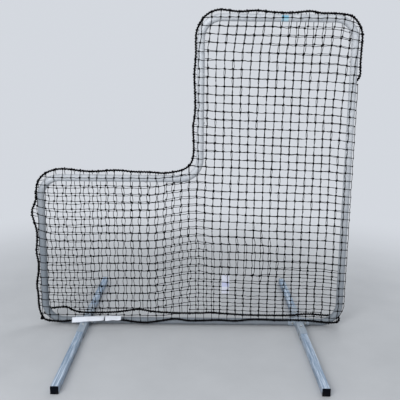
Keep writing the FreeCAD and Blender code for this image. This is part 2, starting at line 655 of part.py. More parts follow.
left_edge = value(f"{LEFT_X} - {TUBE_R}")
right_edge = value(f"{RIGHT_X} + {TUBE_R}")
tall_edge = value(f"{TALL_X} - {TUBE_R}")
net_low_z = value(cell("net_lift"))
net_low_top = value(f"{LOW_Z} + {TUBE_R}")
net_tall_top = value(f"{TOP_Z} + {TUBE_R}")
for layer_name, is_front in (("front", True), ("rear", False)):
    tall_steps = net_layer(f"{layer_name}_net_tall", (tall_edge, net_low_z),
                           (right_edge, net_tall_top), (2, 3), is_front)
    net_layer(f"{layer_name}_net_low", (left_edge, net_low_z),
              (tall_edge - value(cell("net_seam")), net_low_top), (3,), is_front)


# Ropes: one rope borders the net round the outside of the frame, and one lies along the
# lower edge of each layer. A route is a list of points, and each turn between two runs is an
# arc tangent to both

def vector(point):
    return FreeCAD.Vector(*point)


def rope_wire(points, name):
    points = [vector(p) for p in points]
    edges = []
    here = points[0]
    radii = []
    for i in range(1, len(points) - 1):
        back = points[i - 1] - points[i]
        ahead = points[i + 1] - points[i]
        half = (math.pi - back.getAngle(ahead)) / 2
        shorter = min(back.Length, ahead.Length)
        radius = 0.45 * shorter / math.tan(half)
        radii.append(radius)
        reach = radius * math.tan(half)
        first = points[i] + back.normalize() * reach
        last = points[i] + ahead.normalize() * reach
        inward = (first + last) * 0.5 - points[i]
        distance = radius / math.cos(half) - radius
        middle = points[i] + inward.normalize() * distance
        edges.append(Part.LineSegment(here, first).toShape())
        edges.append(Part.Arc(first, middle, last).toShape())
        here = last
    edges.append(Part.LineSegment(here, points[-1]).toShape())
    print(name, "smallest arc radius", round(min(radii), 1))
    return Part.Wire(edges)


def rope(label, points):
    wire = rope_wire(points, label)
    start = wire.Edges[0]
    direction = start.tangentAt(start.FirstParameter)
    thickness = value(cell("rope"))
    section = Part.Wire([Part.Circle(vector(points[0]), direction, thickness / 2).toShape()])
    solid = wire.makePipeShell([section], True, False)
    expected = math.pi * thickness ** 2 / 4 * wire.Length
    print(label, "length", round(wire.Length), "volume ratio",
          round(solid.Volume / expected, 4))
    cord = doc.addObject("Part::Feature", label)
    cord.Label = label
    cord.Shape = solid


rail_y = value(PLANE_Y)
rope_r = value(cell("rope")) / 2
top_line = net_tall_top + rope_r
low_line = net_low_top + rope_r
left_line = left_edge - rope_r
right_line = right_edge + rope_r
tall_line = tall_edge - rope_r
bottom_y = value(cell("bottom_rope_out"))
behind_post = value(f"{RIGHT_X} + Sizes.rope_behind_step")


def near(corner_x, corner_z, steps):
    # Points a few steps off one corner of the frame, in the frame's own plane unless a
    # step says how far in front or behind.
    return [(corner_x + x, rail_y + (rest[0] if rest else 0), corner_z + z)
            for x, z, *rest in steps]


# The border rope stands off the tubes in waves, as its ties pull it. It starts at the lower
# left, goes up the left side, over the low rail, up and over the tall side, down the right
# side, and slips behind the right post.

border_points = (
    near(left_line, 0, [
        (6, 40, -2), (-8, 72), (-17, 118), (-15, 185), (-24, 250), (-9, 318), (-4, 388),
        (-17, 452), (-8, 520), (-6, 588), (-22, 645), (-36, 706), (-2, 766)])
    + near(left_line, low_line, [
        (-1, -82), (26, -22), (78, 12), (140, 27), (200, 24), (270, 14), (350, 11), (445, 21),
        (505, 20), (565, 12)])
    + near(tall_edge, low_line, [
        (-265, 12), (-195, 4), (-130, 13), (-72, 27), (-28, 62), (-15, 125), (-17, 200),
        (-22, 282), (-9, 345), (-10, 455), (-18, 568)])
    + near(tall_line, top_line, [
        (-1, -225), (-4, -165), (-3, -103), (26, -40), (66, -2), (124, 18), (184, 10), (244, 4),
        (306, 12), (356, 11), (416, 4), (516, 0), (576, 7), (634, 14)])
    + near(right_line, top_line, [
        (-222, 0), (-165, 2), (-118, 0), (-50, -8), (-8, -52), (13, -105), (12, -165),
        (10, -225), (10, -285), (14, -322, 2), (12, -344, 16), (2, -362, 34)])
    + near(behind_post, top_line, [(0, -430, 32), (0, -680, 31)])
    + near(behind_post, 0, [
        (0, 900, 31), (-2, 400, 31), (-3, 180, 31), (-8, 118, 31), (-24, 76, 31)]))
rope("border_rope", border_points)

skid_x = value(SKID_X)
front_y = rail_y - bottom_y
rear_y = rail_y + bottom_y
sleeve_top = value(SLEEVE)
label_y = front_y - value(cell("label_rope_out"))
label_z = sleeve_top + value(cell("label_rope_lift"))
front_points = [
    (left_line + 6, rail_y - 8, 40),
    (left_line + 28, front_y + 12, 31),
    (left_edge + 61, front_y, 30),
    (left_edge + 120, front_y, 26),
    (-skid_x - 92, label_y + 8, 40),
    (-skid_x - 50, label_y, label_z),
    (-skid_x + 222, label_y, label_z),
    (-skid_x + 268, front_y - 12, 38),
    (-330, front_y, 25),
    (-284, front_y, 22.5),
    (-193, front_y, 35),
    (-100, front_y, 54),
    (-30, front_y, 36),
    (60, front_y, 40),
    (171, front_y, 46),
    (262, front_y, 36),
    (353, front_y, 53),
    (504, front_y, 46),
    (skid_x - 50, front_y, sleeve_top + 6.2),
    (skid_x + 40, front_y, sleeve_top + 6),
    (right_edge - 108, front_y, 33),
    (right_edge - 48, front_y + 2, 31),
    (right_edge - 18, rail_y - 12, 37),
    (right_edge - 14, rail_y + 12, 55),
    (right_edge - 26, rail_y + 26, 70),
]
rope("front_bottom_rope", front_points)

rear_points = [
    (left_line + 13, rail_y + 8, 64),
    (left_edge + 28, rear_y - 1, 79),
    (left_edge + 62, rear_y, 92),
    (left_edge + 104, rear_y, 94),
    (left_edge + 146, rear_y, 98),
    (left_edge + 172, rear_y, 78),
    (left_edge + 202, rear_y, 67),
    (-skid_x - 20, rear_y, sleeve_top + 18),
    (-503, rear_y, 62),
    (-412, rear_y, 73),
    (-335, rear_y, 88),
    (-258, rear_y, 72),
    (-170, rear_y, 63.5),
    (40, rear_y, 61),
    (118, rear_y, 70),
    (170, rear_y, 62),
    (250, rear_y, 58),
    (328, rear_y, 52.5),
    (480, rear_y, 52),
    (skid_x - 40, rear_y, sleeve_top + 10.5),
    (skid_x + 54, rear_y, sleeve_top + 24),
    (right_edge - 92, rear_y, 54),
    (right_edge - 44, rear_y + 1, 58),
    (right_edge - 33, rear_y + 1, 72),
]
rope("rear_bottom_rope", rear_points)


# Labels, tie and sticker

rope_surface = "(Sizes.rope / 2 + Sizes.trim_gap)"


def label_plate(name, length, middle_x, rope_y, rope_z, tilt):
    # The plate lies on the front of the rope, its lower edge tilted out towards the viewer.
    out = f"({rope_surface} + Sizes.label_thickness / 2)"
    turn = FreeCAD.Rotation(FreeCAD.Vector(1, 0, 0), value(tilt))
    plate_box = primitive(
        "Box", name,
        place=(f"{middle_x} - {length} / 2",
               f"{rope_y} - sin({tilt}) * {out} - cos({tilt}) * Sizes.label_height / 2"
               f" + sin({tilt}) * Sizes.label_thickness / 2",
               f"{rope_z} + cos({tilt}) * {out} - sin({tilt}) * Sizes.label_height / 2"
               f" - cos({tilt}) * Sizes.label_thickness / 2"),
        turn=turn, Length=length, Width=cell("label_height"),
        Height=cell("label_thickness"))
    plate_box.Label = name


label_middle = f"(-{SKID_X} + Sizes.label_side_step)"
label_rope_y = f"({PLANE_Y} - Sizes.bottom_rope_out - Sizes.label_rope_out)"
label_rope_z = f"({SLEEVE} + Sizes.label_rope_lift)"
label_plate("long_label", cell("long_label_length"), label_middle,
            label_rope_y, label_rope_z, cell("long_label_tilt"))
tie_x = f"({label_middle} + Sizes.long_label_length / 2 + Sizes.trim_gap)"
tie_place = (tie_x, label_rope_y, label_rope_z)
short_middle = f"({tie_x} + Sizes.knot_length + Sizes.trim_gap + Sizes.short_label_length / 2)"
label_plate("short_label", cell("short_label_length"), short_middle,
            label_rope_y, label_rope_z, cell("short_label_tilt"))
cut("rope_tie",
    cylinder("tie_outside", tie_place, ALONG_X, "Sizes.knot_diameter / 2",
             cell("knot_length")),
    [cylinder("tie_inside", tie_place, ALONG_X, rope_surface, cell("knot_length"))])

sticker_r = f"({TUBE_R} + Sizes.sticker_gap)"
sticker_x = f"({TALL_X} + Sizes.sticker_place - Sizes.sticker_size / 2)"
sticker_angle = f"(Sizes.sticker_size / {sticker_r} * 180 / pi)"
sticker_start = value(f"270 - {sticker_angle} / 2 + Sizes.sticker_lean")
sector = primitive("Cylinder", "sticker_sector", place=(sticker_x, PLANE_Y, TOP_Z),
                   turn=FreeCAD.Rotation(FreeCAD.Vector(1, 0, 0), sticker_start)
                   .multiply(ALONG_X),
                   Radius=f"{sticker_r} + Sizes.sticker_thickness",
                   Height=cell("sticker_size"), Angle=sticker_angle)
cut("rail_sticker", sector,
    [cylinder("sticker_inside", (sticker_x, PLANE_Y, TOP_Z), ALONG_X, sticker_r,
              cell("sticker_size"))])

# Hang tag: a card on a plastic loop round one twine of the front net, behind that net. The
# twine is the third row up and the second column of the tall part

twine_z = net_low_z + 3 * tall_steps[1] + value(cell("twine")) / 2
twine_x = tall_edge + 2 * tall_steps[0] + value(cell("twine")) / 2
twine_y = value(f"{PLANE_Y} - {NET_Y} - Sizes.twine / 2")
tag_x = f"({twine_x} - Sizes.tag_side_step)"
tag_y = f"({PLANE_Y} - {NET_Y} + Sizes.tag_behind_net)"
loop_z = f"({twine_z} - Sizes.loop_drop)"
tag_top = f"({loop_z} - Sizes.loop_radius + Sizes.tag_hole_drop)"
loop = primitive("Torus", "tag_loop", place=(tag_x, tag_y, loop_z), turn=ALONG_X,
                 Radius1=cell("loop_radius"), Radius2="Sizes.loop_wire / 2")
loop.Label = "tag_loop"
card = box("tag_card",
           (f"{tag_x} - Sizes.tag_width / 2", f"{tag_y} - Sizes.tag_thickness / 2",
            f"{tag_top} - Sizes.tag_length"),
           (cell("tag_width"), cell("tag_thickness"), cell("tag_length")))
tag = cut("hang_tag", card,
          [cylinder("tag_eyelet",
                    (tag_x, f"{tag_y} + Sizes.tag_thickness", f"{loop_z} - Sizes.loop_radius"),
                    TOWARDS_FRONT, "Sizes.tag_hole / 2", "Sizes.tag_thickness * 2")])
print("tag pivot", round(twine_x, 2), round(twine_y, 2), round(twine_z, 2),
      "loop at", round(value(tag_y), 2), round(value(loop_z), 2))


# Recompute, check and export

NODES = [
    "lower_left_corner", "left_post", "low_shoulder", "inner_corner", "upper_left_corner",
    "top_rail", "upper_right_corner", "right_post", "lower_right_corner", "bottom_rail",
    "left_skid_connector", "right_skid_connector",
    "left_front_skid", "left_rear_skid", "right_front_skid", "right_rear_skid",
    "left_front_cap", "left_rear_cap", "right_front_cap", "right_rear_cap",
    "frame_screws", "skid_bolts", "collar_bolts",
    "front_net_tall", "front_net_low", "rear_net_tall", "rear_net_low",
    "border_rope", "front_bottom_rope", "rear_bottom_rope", "rope_tie",
    "long_label", "short_label", "rail_sticker", "tag_loop", "hang_tag",
]

doc.recompute()
for thing in doc.Objects:
    bad = [state for state in thing.State if state in ("Invalid", "Error")]
    assert not bad, f"{thing.Label} is {bad}"

os.makedirs("parts", exist_ok=True)
for name in NODES:
    node = doc.getObject(name)
    shape = node.Shape
    assert not shape.isNull() and shape.isValid(), f"{name} has no valid shape"
    shape.exportStep(f"parts/{name}.step")
    print(name, len(shape.Solids), "solid, volume", round(shape.Volume))
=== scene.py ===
# %% [markdown]
# A pitcher's protective screen: a tall L of galvanised tube with a black knotted net pulled
# over it like a pillowcase, standing on two square skids. The tubes, skids, caps, screws,
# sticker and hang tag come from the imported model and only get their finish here. What is soft
# is made here: the net, its ropes and ties, and the sewn labels.

# %% Load the frame
import math
import random

import bmesh
import bpy
from mathutils import Matrix, Vector


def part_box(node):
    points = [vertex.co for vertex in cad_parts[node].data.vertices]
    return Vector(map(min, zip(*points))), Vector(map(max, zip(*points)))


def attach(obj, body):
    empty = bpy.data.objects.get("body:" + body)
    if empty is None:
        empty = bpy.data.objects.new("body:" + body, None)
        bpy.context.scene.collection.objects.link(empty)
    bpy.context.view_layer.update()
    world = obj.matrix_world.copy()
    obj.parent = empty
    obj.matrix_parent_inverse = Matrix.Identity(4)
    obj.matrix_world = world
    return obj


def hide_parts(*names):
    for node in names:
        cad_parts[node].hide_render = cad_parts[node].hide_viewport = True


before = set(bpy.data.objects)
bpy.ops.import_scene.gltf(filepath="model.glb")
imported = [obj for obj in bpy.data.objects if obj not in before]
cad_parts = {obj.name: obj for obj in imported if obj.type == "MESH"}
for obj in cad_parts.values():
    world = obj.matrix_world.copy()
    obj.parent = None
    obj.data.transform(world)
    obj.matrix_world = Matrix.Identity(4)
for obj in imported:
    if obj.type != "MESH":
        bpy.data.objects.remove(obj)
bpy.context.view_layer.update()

# %% [markdown]
# Everything that follows hangs on a few places of the frame, so they are read from the
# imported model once. The frame is flat: all its tubes lie in one upright plane, and the net
# has one layer in front of that plane and one behind it.

# %% Places on the frame
post_low, post_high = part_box("right_post")
left_low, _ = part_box("left_post")
_, rail_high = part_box("top_rail")
tall_low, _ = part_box("upper_left_corner")
_, shoulder_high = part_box("low_shoulder")

TUBE_R = (post_high.x - post_low.x) / 2
PLANE_Y = (post_high.y + post_low.y) / 2
LEFT_EDGE = left_low.x
RIGHT_EDGE = post_high.x
TALL_EDGE = tall_low.x
TOP_EDGE = rail_high.z
LOW_TOP = shoulder_high.z
ROPE_R = 0.0055
TWINE_R = 0.0017
NET_OUT = TUBE_R + 0.0030
print("tube radius", round(TUBE_R, 4), "plane y", round(PLANE_Y, 4))

# %% [markdown]
# The camera stands where the picture was taken: about 3.4 m in front of the frame at chest
# height, looking down by 12 degrees. A focal length is easier to read off the picture in
# pixels, so it is kept that way and turned into Blender's millimetres.

# %% Camera
IMAGE_SIDE = 400
FOCAL_PIXELS = 591.4
SENSOR = 36.0
STANDPOINT = (0.0251, -3.3607, 1.4838)
PITCH, ROLL, YAW = 0.2039, 0.0108, 0.004


def put(name, data):
    thing = bpy.data.objects.new(name, data)
    bpy.context.scene.collection.objects.link(thing)
    return thing


eye = bpy.data.cameras.new("photo_camera")
eye.sensor_width = SENSOR
eye.lens = FOCAL_PIXELS / IMAGE_SIDE * SENSOR
camera = put("photo_camera", eye)
turn = (Matrix.Rotation(-YAW, 4, "Z") @ Matrix.Rotation(math.pi / 2 - PITCH, 4, "X")
        @ Matrix.Rotation(ROLL, 4, "Z"))
camera.matrix_world = Matrix.Translation(STANDPOINT) @ turn
bpy.context.scene.camera = camera
bpy.context.scene.view_settings.view_transform = "Standard"
print("lens", round(eye.lens, 1), "mm")

# %% [markdown]
# Materials are node trees, and most of their nodes are made the same way, so a few small
# helpers keep the cells short. A node is added with its settings and with what goes into its
# sockets: numbers, or the outputs of other nodes. Most nodes are added for one output, which
# output_of gives back. The last helper starts a material with its Principled shader.

# %% Node helpers
def feed(tree, socket, source):
    if isinstance(source, bpy.types.NodeSocket):
        tree.links.new(source, socket)
    else:
        socket.default_value = source


def add_node(tree, kind, sources=None, **settings):
    node = tree.nodes.new("ShaderNode" + kind)
    for name, setting in settings.items():
        setattr(node, name, setting)
    for socket, source in (sources or {}).items():
        feed(tree, node.inputs[socket], source)
    return node


def output_of(tree, kind, output, sources=None, **settings):
    return add_node(tree, kind, sources, **settings).outputs[output]


def start_material(name, **constants):
    material = bpy.data.materials.new(name)
    material.use_nodes = True
    tree = material.node_tree
    shader = tree.nodes["Principled BSDF"]
    for socket, number in constants.items():
        shader.inputs[socket.replace("_", " ")].default_value = number
    return material, tree, shader


# %% [markdown]
# A few kinds of node come up again and again: a calculation, a value stretched from one range
# to another, one coordinate of a place, noise, and one colour laid over another by a mask. A
# Mix node has sockets of the same name for every kind of data, so those for colour are found
# by their numbers. The last helper gives the Principled shader its colour, a little relief
# and, where it varies, its roughness.

# %% Helpers for the usual nodes
UNDER, OVER, MIXED = 6, 7, 2


def calculate(tree, operation, *values, **settings):
    return output_of(tree, "Math", "Value", dict(enumerate(values)), operation=operation,
                     **settings)


def remap(tree, value, start=0.0, end=1.0, low=0.0, high=1.0, **settings):
    return output_of(tree, "MapRange", "Result", {
        "Value": value, "From Min": start, "From Max": end, "To Min": low, "To Max": high,
    }, **settings)


def object_place(tree):
    return output_of(tree, "TexCoord", "Object")


def coordinate(tree, place, axis):
    return output_of(tree, "SeparateXYZ", axis, {"Vector": place})


def noise(tree, place, scale, detail, roughness, output="Fac"):
    return output_of(tree, "TexNoise", output, {
        "Vector": place, "Scale": scale, "Detail": detail, "Roughness": roughness})


def mix_colors(tree, mask, under, over):
    sources = {"Factor": mask}
    for socket, color in ((UNDER, under), (OVER, over)):
        sources[socket] = (*color, 1.0) if isinstance(color, tuple) else color
    return output_of(tree, "Mix", MIXED, sources, data_type="RGBA")


def coat(tree, shader, color, height, strength, distance, roughness=None):
    feed(tree, shader.inputs["Base Color"], color)
    feed(tree, shader.inputs["Normal"], output_of(tree, "Bump", "Normal", {
        "Height": height, "Strength": strength, "Distance": distance}))
    if roughness is not None:
        feed(tree, shader.inputs["Roughness"], roughness)


# %% [markdown]
# An effect that several finishes share is a node group. It takes a few numbers, and most
# often a place on the object, and gives back a mask or a value, never a shader. The first is
# plain grain: fine noise for tone and roughness.

# %% Group for grain
def start_group(name, inputs, outputs):
    group = bpy.data.node_groups.new(name, "ShaderNodeTree")
    for label, start in inputs.items():
        kind = "NodeSocketVector" if start is None else "NodeSocketFloat"
        socket = group.interface.new_socket(label, in_out="INPUT", socket_type=kind)
        if start is not None:
            socket.default_value = start
    for label in outputs:
        group.interface.new_socket(label, in_out="OUTPUT", socket_type="NodeSocketFloat")
    given = group.nodes.new("NodeGroupInput").outputs
    return group, given, group.nodes.new("NodeGroupOutput").inputs


GRAIN, given, out = start_group("grain", {"Place": None, "Scale": 100.0}, ["Value"])
fine = noise(GRAIN, given["Place"], given["Scale"], detail=4.0, roughness=0.6)
feed(GRAIN, out["Value"], remap(GRAIN, fine, 0.3, 0.7))


def use_group(tree, group, **sources):
    return add_node(tree, "Group", sources, node_tree=group).outputs


def grained(tree, place, scale):
    return use_group(tree, GRAIN, Place=place, Scale=scale)["Value"]


print("group", GRAIN.name)

# %% [markdown]
# Hot-dipped zinc freezes in flat crystals, the spangle, each a little lighter or darker than
# its neighbour. Voronoi cells give such patches. Rain and handling leave a soft white bloom
# over them, which large noise gives.

# %% Group for zinc spangle
SPANGLE, given, out = start_group(
    "zinc_spangle", {"Place": None, "Scale": 90.0}, ["Tone", "Bloom"])
warp = noise(SPANGLE, given["Place"], 60.0, detail=2.0, roughness=0.5, output="Color")
push = output_of(SPANGLE, "VectorMath", "Vector", {0: warp, "Scale": 0.012},
                 operation="SCALE")
moved = output_of(SPANGLE, "VectorMath", "Vector", {0: push, 1: given["Place"]},
                  operation="ADD")
cells = output_of(SPANGLE, "TexVoronoi", "Color", {"Vector": moved, "Scale": given["Scale"]})
feed(SPANGLE, out["Tone"], output_of(SPANGLE, "SeparateColor", "Red", {"Color": cells}))
bloom = noise(SPANGLE, given["Place"], 9.0, detail=5.0, roughness=0.65)
feed(SPANGLE, out["Bloom"], remap(SPANGLE, bloom, 0.42, 0.68))
print("group", SPANGLE.name)

# %% [markdown]
# What stands outside gathers dirt from the ground up, and where a thing meets the floor shade
# falls too. This group makes a mask from the height above the floor, broken up by noise, so
# that it ends raggedly. On the zinc it paints real dirt and contact shadow together.

# %% Group for ground dirt and painted contact shadow
DIRT_AND_SHADE, given, out = start_group(
    "ground_dirt_and_shade", {"Place": None, "Reach": 0.05, "Scale": 25.0}, ["Mask"])
height = coordinate(DIRT_AND_SHADE, given["Place"], "Z")
fade = remap(DIRT_AND_SHADE, height, 0.0, given["Reach"], 1.0, 0.0)
ragged = noise(DIRT_AND_SHADE, given["Place"], given["Scale"], detail=6.0, roughness=0.7)
spots = remap(DIRT_AND_SHADE, ragged, 0.4, 0.65)
feed(DIRT_AND_SHADE, out["Mask"], calculate(DIRT_AND_SHADE, "MULTIPLY", fade, spots))
print("group", DIRT_AND_SHADE.name)

# %% [markdown]
# Edges of a painted, plated or moulded piece catch light where the coat has rubbed thin. The
# Bevel node gives the normal that a rounded edge would have, and where it differs from the
# true normal there is an edge.

# %% Group for rubbed edges
EDGES, given, out = start_group("rubbed_edges", {"Width": 0.001, "Amount": 1.0}, ["Mask"])
rounded = output_of(EDGES, "Bevel", "Normal", {"Radius": given["Width"]}, samples=4)
true = output_of(EDGES, "NewGeometry", "Normal")
alike = output_of(EDGES, "VectorMath", "Value", {0: rounded, 1: true},
                  operation="DOT_PRODUCT")
feed(EDGES, out["Mask"], remap(EDGES, alike, 1.0, 0.85, 0.0, given["Amount"]))
print("group", EDGES.name)

# %% [markdown]
# Steel tube that was drawn and then slid in and out of its sleeve shows pale streaks along
# its length. Noise that is stretched along one axis gives them.

# %% Group for lengthwise streaks
STREAKS_PER_METRE = (160.0, 5.0, 160.0)

STREAKS, given, out = start_group("lengthwise_streaks", {"Place": None}, ["Mask"])
squeezed = output_of(STREAKS, "VectorMath", "Vector", {
    0: given["Place"], 1: STREAKS_PER_METRE}, operation="MULTIPLY")
drawn = noise(STREAKS, squeezed, 1.0, detail=5.0, roughness=0.65)
feed(STREAKS, out["Mask"], remap(STREAKS, drawn, 0.47, 0.64))
print("group", STREAKS.name)

# %% [markdown]
# Three pieces of steel, three ages of zinc. The frame's tube is flow-coated and evenly grey,
# the sleeves and collars are bluer where they were welded, and the skids are older stock:
# blue-grey, blotched white on top and darker near the ground. All of it grows darker towards
# the ground. Part of that is zinc that stays wet longest there and weathers, and part is
# painted shade, because the lower parts get less of the sky's light. The left post is made
# darker than the right. Close to the ground a ragged dark band is real dirt and painted contact
# shadow together.

# %% Galvanised finishes
ZINC_METAL = 0.15
# Height below which the zinc darkens towards the ground: partly weathering, partly painted
# shade.
WEATHERED_AND_SHADED_BELOW = 1.1
# Where and by how much the left post is made darker than the right.
LEFT_DARKER_FROM, LEFT_DARKER_TO, LEFT_DARKER = -0.90, -0.84, 0.47
# Colour near the ground: real dirt and painted contact shadow.
GROUND_DIRT_AND_SHADE = (0.13, 0.125, 0.12)


def galvanised(name, dark, light, bloom, dull_and_shaded, spangle_scale, rough, dirt_and_shade_reach, streaked):
    material, tree, shader = start_material(name, Metallic=ZINC_METAL)
    place = object_place(tree)
    zinc = use_group(tree, SPANGLE, Place=place, Scale=spangle_scale)
    dirt_and_shade = use_group(tree, DIRT_AND_SHADE, Place=place, Reach=dirt_and_shade_reach)["Mask"]
    streaks = use_group(tree, STREAKS, Place=place)["Mask"]
    # Lower down the colour turns to the dull one, which is weathering with painted shade in it.
    # The left post is made darker still.
    high = remap(tree, coordinate(tree, place, "Z"), 0.0, WEATHERED_AND_SHADED_BELOW)
    left = remap(tree, coordinate(tree, place, "X"), LEFT_DARKER_TO, LEFT_DARKER_FROM, 0.0,
                 LEFT_DARKER)
    lit_and_fresh = calculate(tree, "SUBTRACT", high, left, use_clamp=True)
    crystal = mix_colors(tree, zinc["Tone"], dark, light)
    bloomed = mix_colors(tree, remap(tree, zinc["Bloom"], high=0.6), crystal, bloom)
    aged_and_shaded = mix_colors(tree, lit_and_fresh, dull_and_shaded, bloomed)
    scuffed = mix_colors(tree, remap(tree, streaks, high=streaked), aged_and_shaded, bloom)
    # Near the ground the colour darkens: real dirt and painted contact shadow.
    dirty_and_shaded = mix_colors(tree, dirt_and_shade, scuffed, GROUND_DIRT_AND_SHADE)
    coat(tree, shader, dirty_and_shaded, grained(tree, place, 240.0), strength=0.12, distance=0.0004,
         roughness=remap(tree, zinc["Bloom"], low=rough, high=rough + 0.2))
    return material


# The fourth colour of each finish is the one at the ground: weathered zinc with painted shade
# in it.
TUBE_FINISH = galvanised(
    "galvanised_tube", dark=(0.50, 0.53, 0.57), light=(0.63, 0.66, 0.70),
    bloom=(0.70, 0.72, 0.75), dull_and_shaded=(0.19, 0.22, 0.255), spangle_scale=75.0, rough=0.66,
    dirt_and_shade_reach=0.03, streaked=0.1)
CONNECTOR_FINISH = galvanised(
    "galvanised_connector", dark=(0.34, 0.41, 0.48), light=(0.48, 0.55, 0.62),
    bloom=(0.66, 0.70, 0.74), dull_and_shaded=(0.31, 0.38, 0.46), spangle_scale=60.0, rough=0.45,
    dirt_and_shade_reach=0.05, streaked=0.3)
SKID_FINISH = galvanised(
    "galvanised_skid", dark=(0.23, 0.33, 0.45), light=(0.38, 0.49, 0.62),
    bloom=(0.70, 0.79, 0.90), dull_and_shaded=(0.21, 0.30, 0.42), spangle_scale=50.0, rough=0.42,
    dirt_and_shade_reach=0.04, streaked=0.8)
print("zinc finishes made")

# %% [markdown]
# The skids end in moulded black caps. Their polyethylene is not quite black, has a fine
# moulded texture and goes grey along its rubbed edges.

# %% Black caps
CAP_FINISH, tree, shader = start_material("black_cap", Specular_IOR_Level=0.05)
place = object_place(tree)
grain = grained(tree, place, 700.0)
wear = use_group(tree, EDGES, Width=0.0012, Amount=0.7)["Mask"]
# On the caps the same ground mask adds only real dirt, a little lighter than the black.
dirt_and_shade = use_group(tree, DIRT_AND_SHADE, Place=place, Reach=0.03, Scale=60.0)["Mask"]
rubbed = mix_colors(tree, wear, (0.002, 0.003, 0.006), (0.02, 0.022, 0.026))
dirty_and_shaded = mix_colors(tree, dirt_and_shade, rubbed, (0.012, 0.011, 0.010))
coat(tree, shader, dirty_and_shaded, grain, strength=0.25, distance=0.0002,
     roughness=remap(tree, grain, low=0.42, high=0.6))
print("cap finish made")

# %% [markdown]
# Screws and bolts have thin bright zinc over steel. Their edges show the steel, so the finish
# is a bright metal with a little wear.

# %% Screws
SCREW_FINISH, tree, shader = start_material("zinc_screw", Metallic=1.0)
grain = grained(tree, object_place(tree), 900.0)
wear = use_group(tree, EDGES, Width=0.0006, Amount=0.8)["Mask"]
plated = mix_colors(tree, grain, (0.50, 0.51, 0.50), (0.64, 0.64, 0.62))
worn = mix_colors(tree, wear, plated, (0.78, 0.78, 0.77))
coat(tree, shader, worn, grain, strength=0.1, distance=0.0001,
     roughness=remap(tree, grain, low=0.25, high=0.42))
print("screw finish made")

# %% [markdown]
# The net is black twine dipped in a tarry treatment. Close up it is twisted from fine
# fibres, which slanted stripes round the twine show. They run on the twine's own map: along
# it in one direction and round it in the other.

# %% Twine and rope finishes
FADED = 1.6


def fibre(name, dark, light, along, around, slant, strength, roughness):
    material, tree, shader = start_material(name, Roughness=roughness,
                                            Specular_IOR_Level=0.02)
    slanted = output_of(tree, "Mapping", "Vector", {
        "Vector": output_of(tree, "UVMap", "UV", uv_map="UVMap"),
        "Scale": (along, around, 1.0), "Rotation": (0.0, 0.0, slant)})
    wave = output_of(tree, "TexWave", "Fac", {
        "Vector": slanted, "Scale": 1.0, "Distortion": 0.6, "Detail": 2.0})
    patches = remap(tree, grained(tree, object_place(tree), 40.0), high=0.4)
    stripes = mix_colors(tree, wave, dark, light)
    faded = mix_colors(tree, patches, stripes, tuple(FADED * part for part in light))
    coat(tree, shader, faded, wave, strength, distance=0.0004)
    return material


TWINE_FINISH = fibre("net_twine", (0.0015, 0.0015, 0.002), (0.005, 0.005, 0.006),
                     along=220.0, around=3.0, slant=0.5, strength=0.4, roughness=0.7)
ROPE_FINISH = fibre("border_rope", (0.001, 0.001, 0.0015), (0.004, 0.004, 0.005),
                    along=900.0, around=6.0, slant=0.35, strength=0.6, roughness=0.65)
print("fibre finishes made")

# %% [markdown]
# The floor and the sky show one plain pale tone to the camera, and light the object by colours
# of their own. The Light Path node tells the camera's rays apart. Metal and clear plastic show
# the background too, so this switch takes the rays that they send on as well.

# %% Helpers for what is seen
BACKGROUND_TONE = (0.66, 0.69, 0.74, 1.0)


def lines_of_sight(tree):
    path = add_node(tree, "LightPath").outputs
    seen = path["Is Camera Ray"]
    for kind in ("Is Glossy Ray", "Is Transmission Ray"):
        seen = calculate(tree, "MAXIMUM", seen, path[kind])
    return seen


def show_plain(tree, share, lit, kind, target):
    plain = output_of(tree, kind, kind, {"Color": BACKGROUND_TONE})
    blend = output_of(tree, "MixShader", "Shader", {"Fac": share, 1: lit, 2: plain})
    feed(tree, tree.nodes[target].inputs["Surface"], blend)


# %% [markdown]
# The stage is a wide pale floor that runs out to the horizon, so every view of the object
# stands on it. Its colour is a light grey with a trace of mottle, like a swept studio floor.
# Away from the object the camera sees it fade into the tone of the background, so there is no
# horizon line.

# %% Floor
FLOOR_HALF = 40.0
FADE_FROM, FADE_TO = 1.1, 3.4


def finished_mesh(bm, name):
    mesh = bpy.data.meshes.new(name)
    bm.to_mesh(mesh)
    bm.free()
    return mesh


bm = bmesh.new()
bmesh.ops.create_grid(bm, x_segments=1, y_segments=1, size=FLOOR_HALF)
floor_mesh = finished_mesh(bm, "floor")
put("floor", floor_mesh)

floor_paint, tree, shader = start_material("floor_paint", Roughness=0.9)
place = object_place(tree)
mottle = grained(tree, place, 3.0)
feed(tree, shader.inputs["Base Color"],
     mix_colors(tree, mottle, (0.49, 0.505, 0.525), (0.53, 0.545, 0.565)))
reach = output_of(tree, "VectorMath", "Value", {0: place}, operation="LENGTH")
fade = remap(tree, reach, FADE_FROM, FADE_TO, interpolation_type="SMOOTHSTEP")
show_plain(tree, calculate(tree, "MULTIPLY", fade, lines_of_sight(tree)),
           shader.outputs["BSDF"], "Emission", "Material Output")
floor_mesh.materials.append(floor_paint)
print("floor", 2 * FLOOR_HALF, "m wide")

# %% [markdown]
# The light is that of an overcast morning: an even sky with a large soft source above and
# in front. The world lights the object, and the same switch shows the plain pale tone
# instead of its light.

# %% Sky and lamps
SKY_STRENGTH = 0.62
LAMP_SIZE = 3.0
LAMPS_AIM_AT = Vector((0, 0, 0.8))

sky = bpy.data.worlds.new("sky")
bpy.context.scene.world = sky
sky.use_nodes = True
tree = sky.node_tree
sky_light = tree.nodes["Background"]
sky_light.inputs["Color"].default_value = (0.93, 0.96, 1.0, 1.0)
sky_light.inputs["Strength"].default_value = SKY_STRENGTH
show_plain(tree, lines_of_sight(tree), sky_light.outputs["Background"], "Background",
           "World Output")


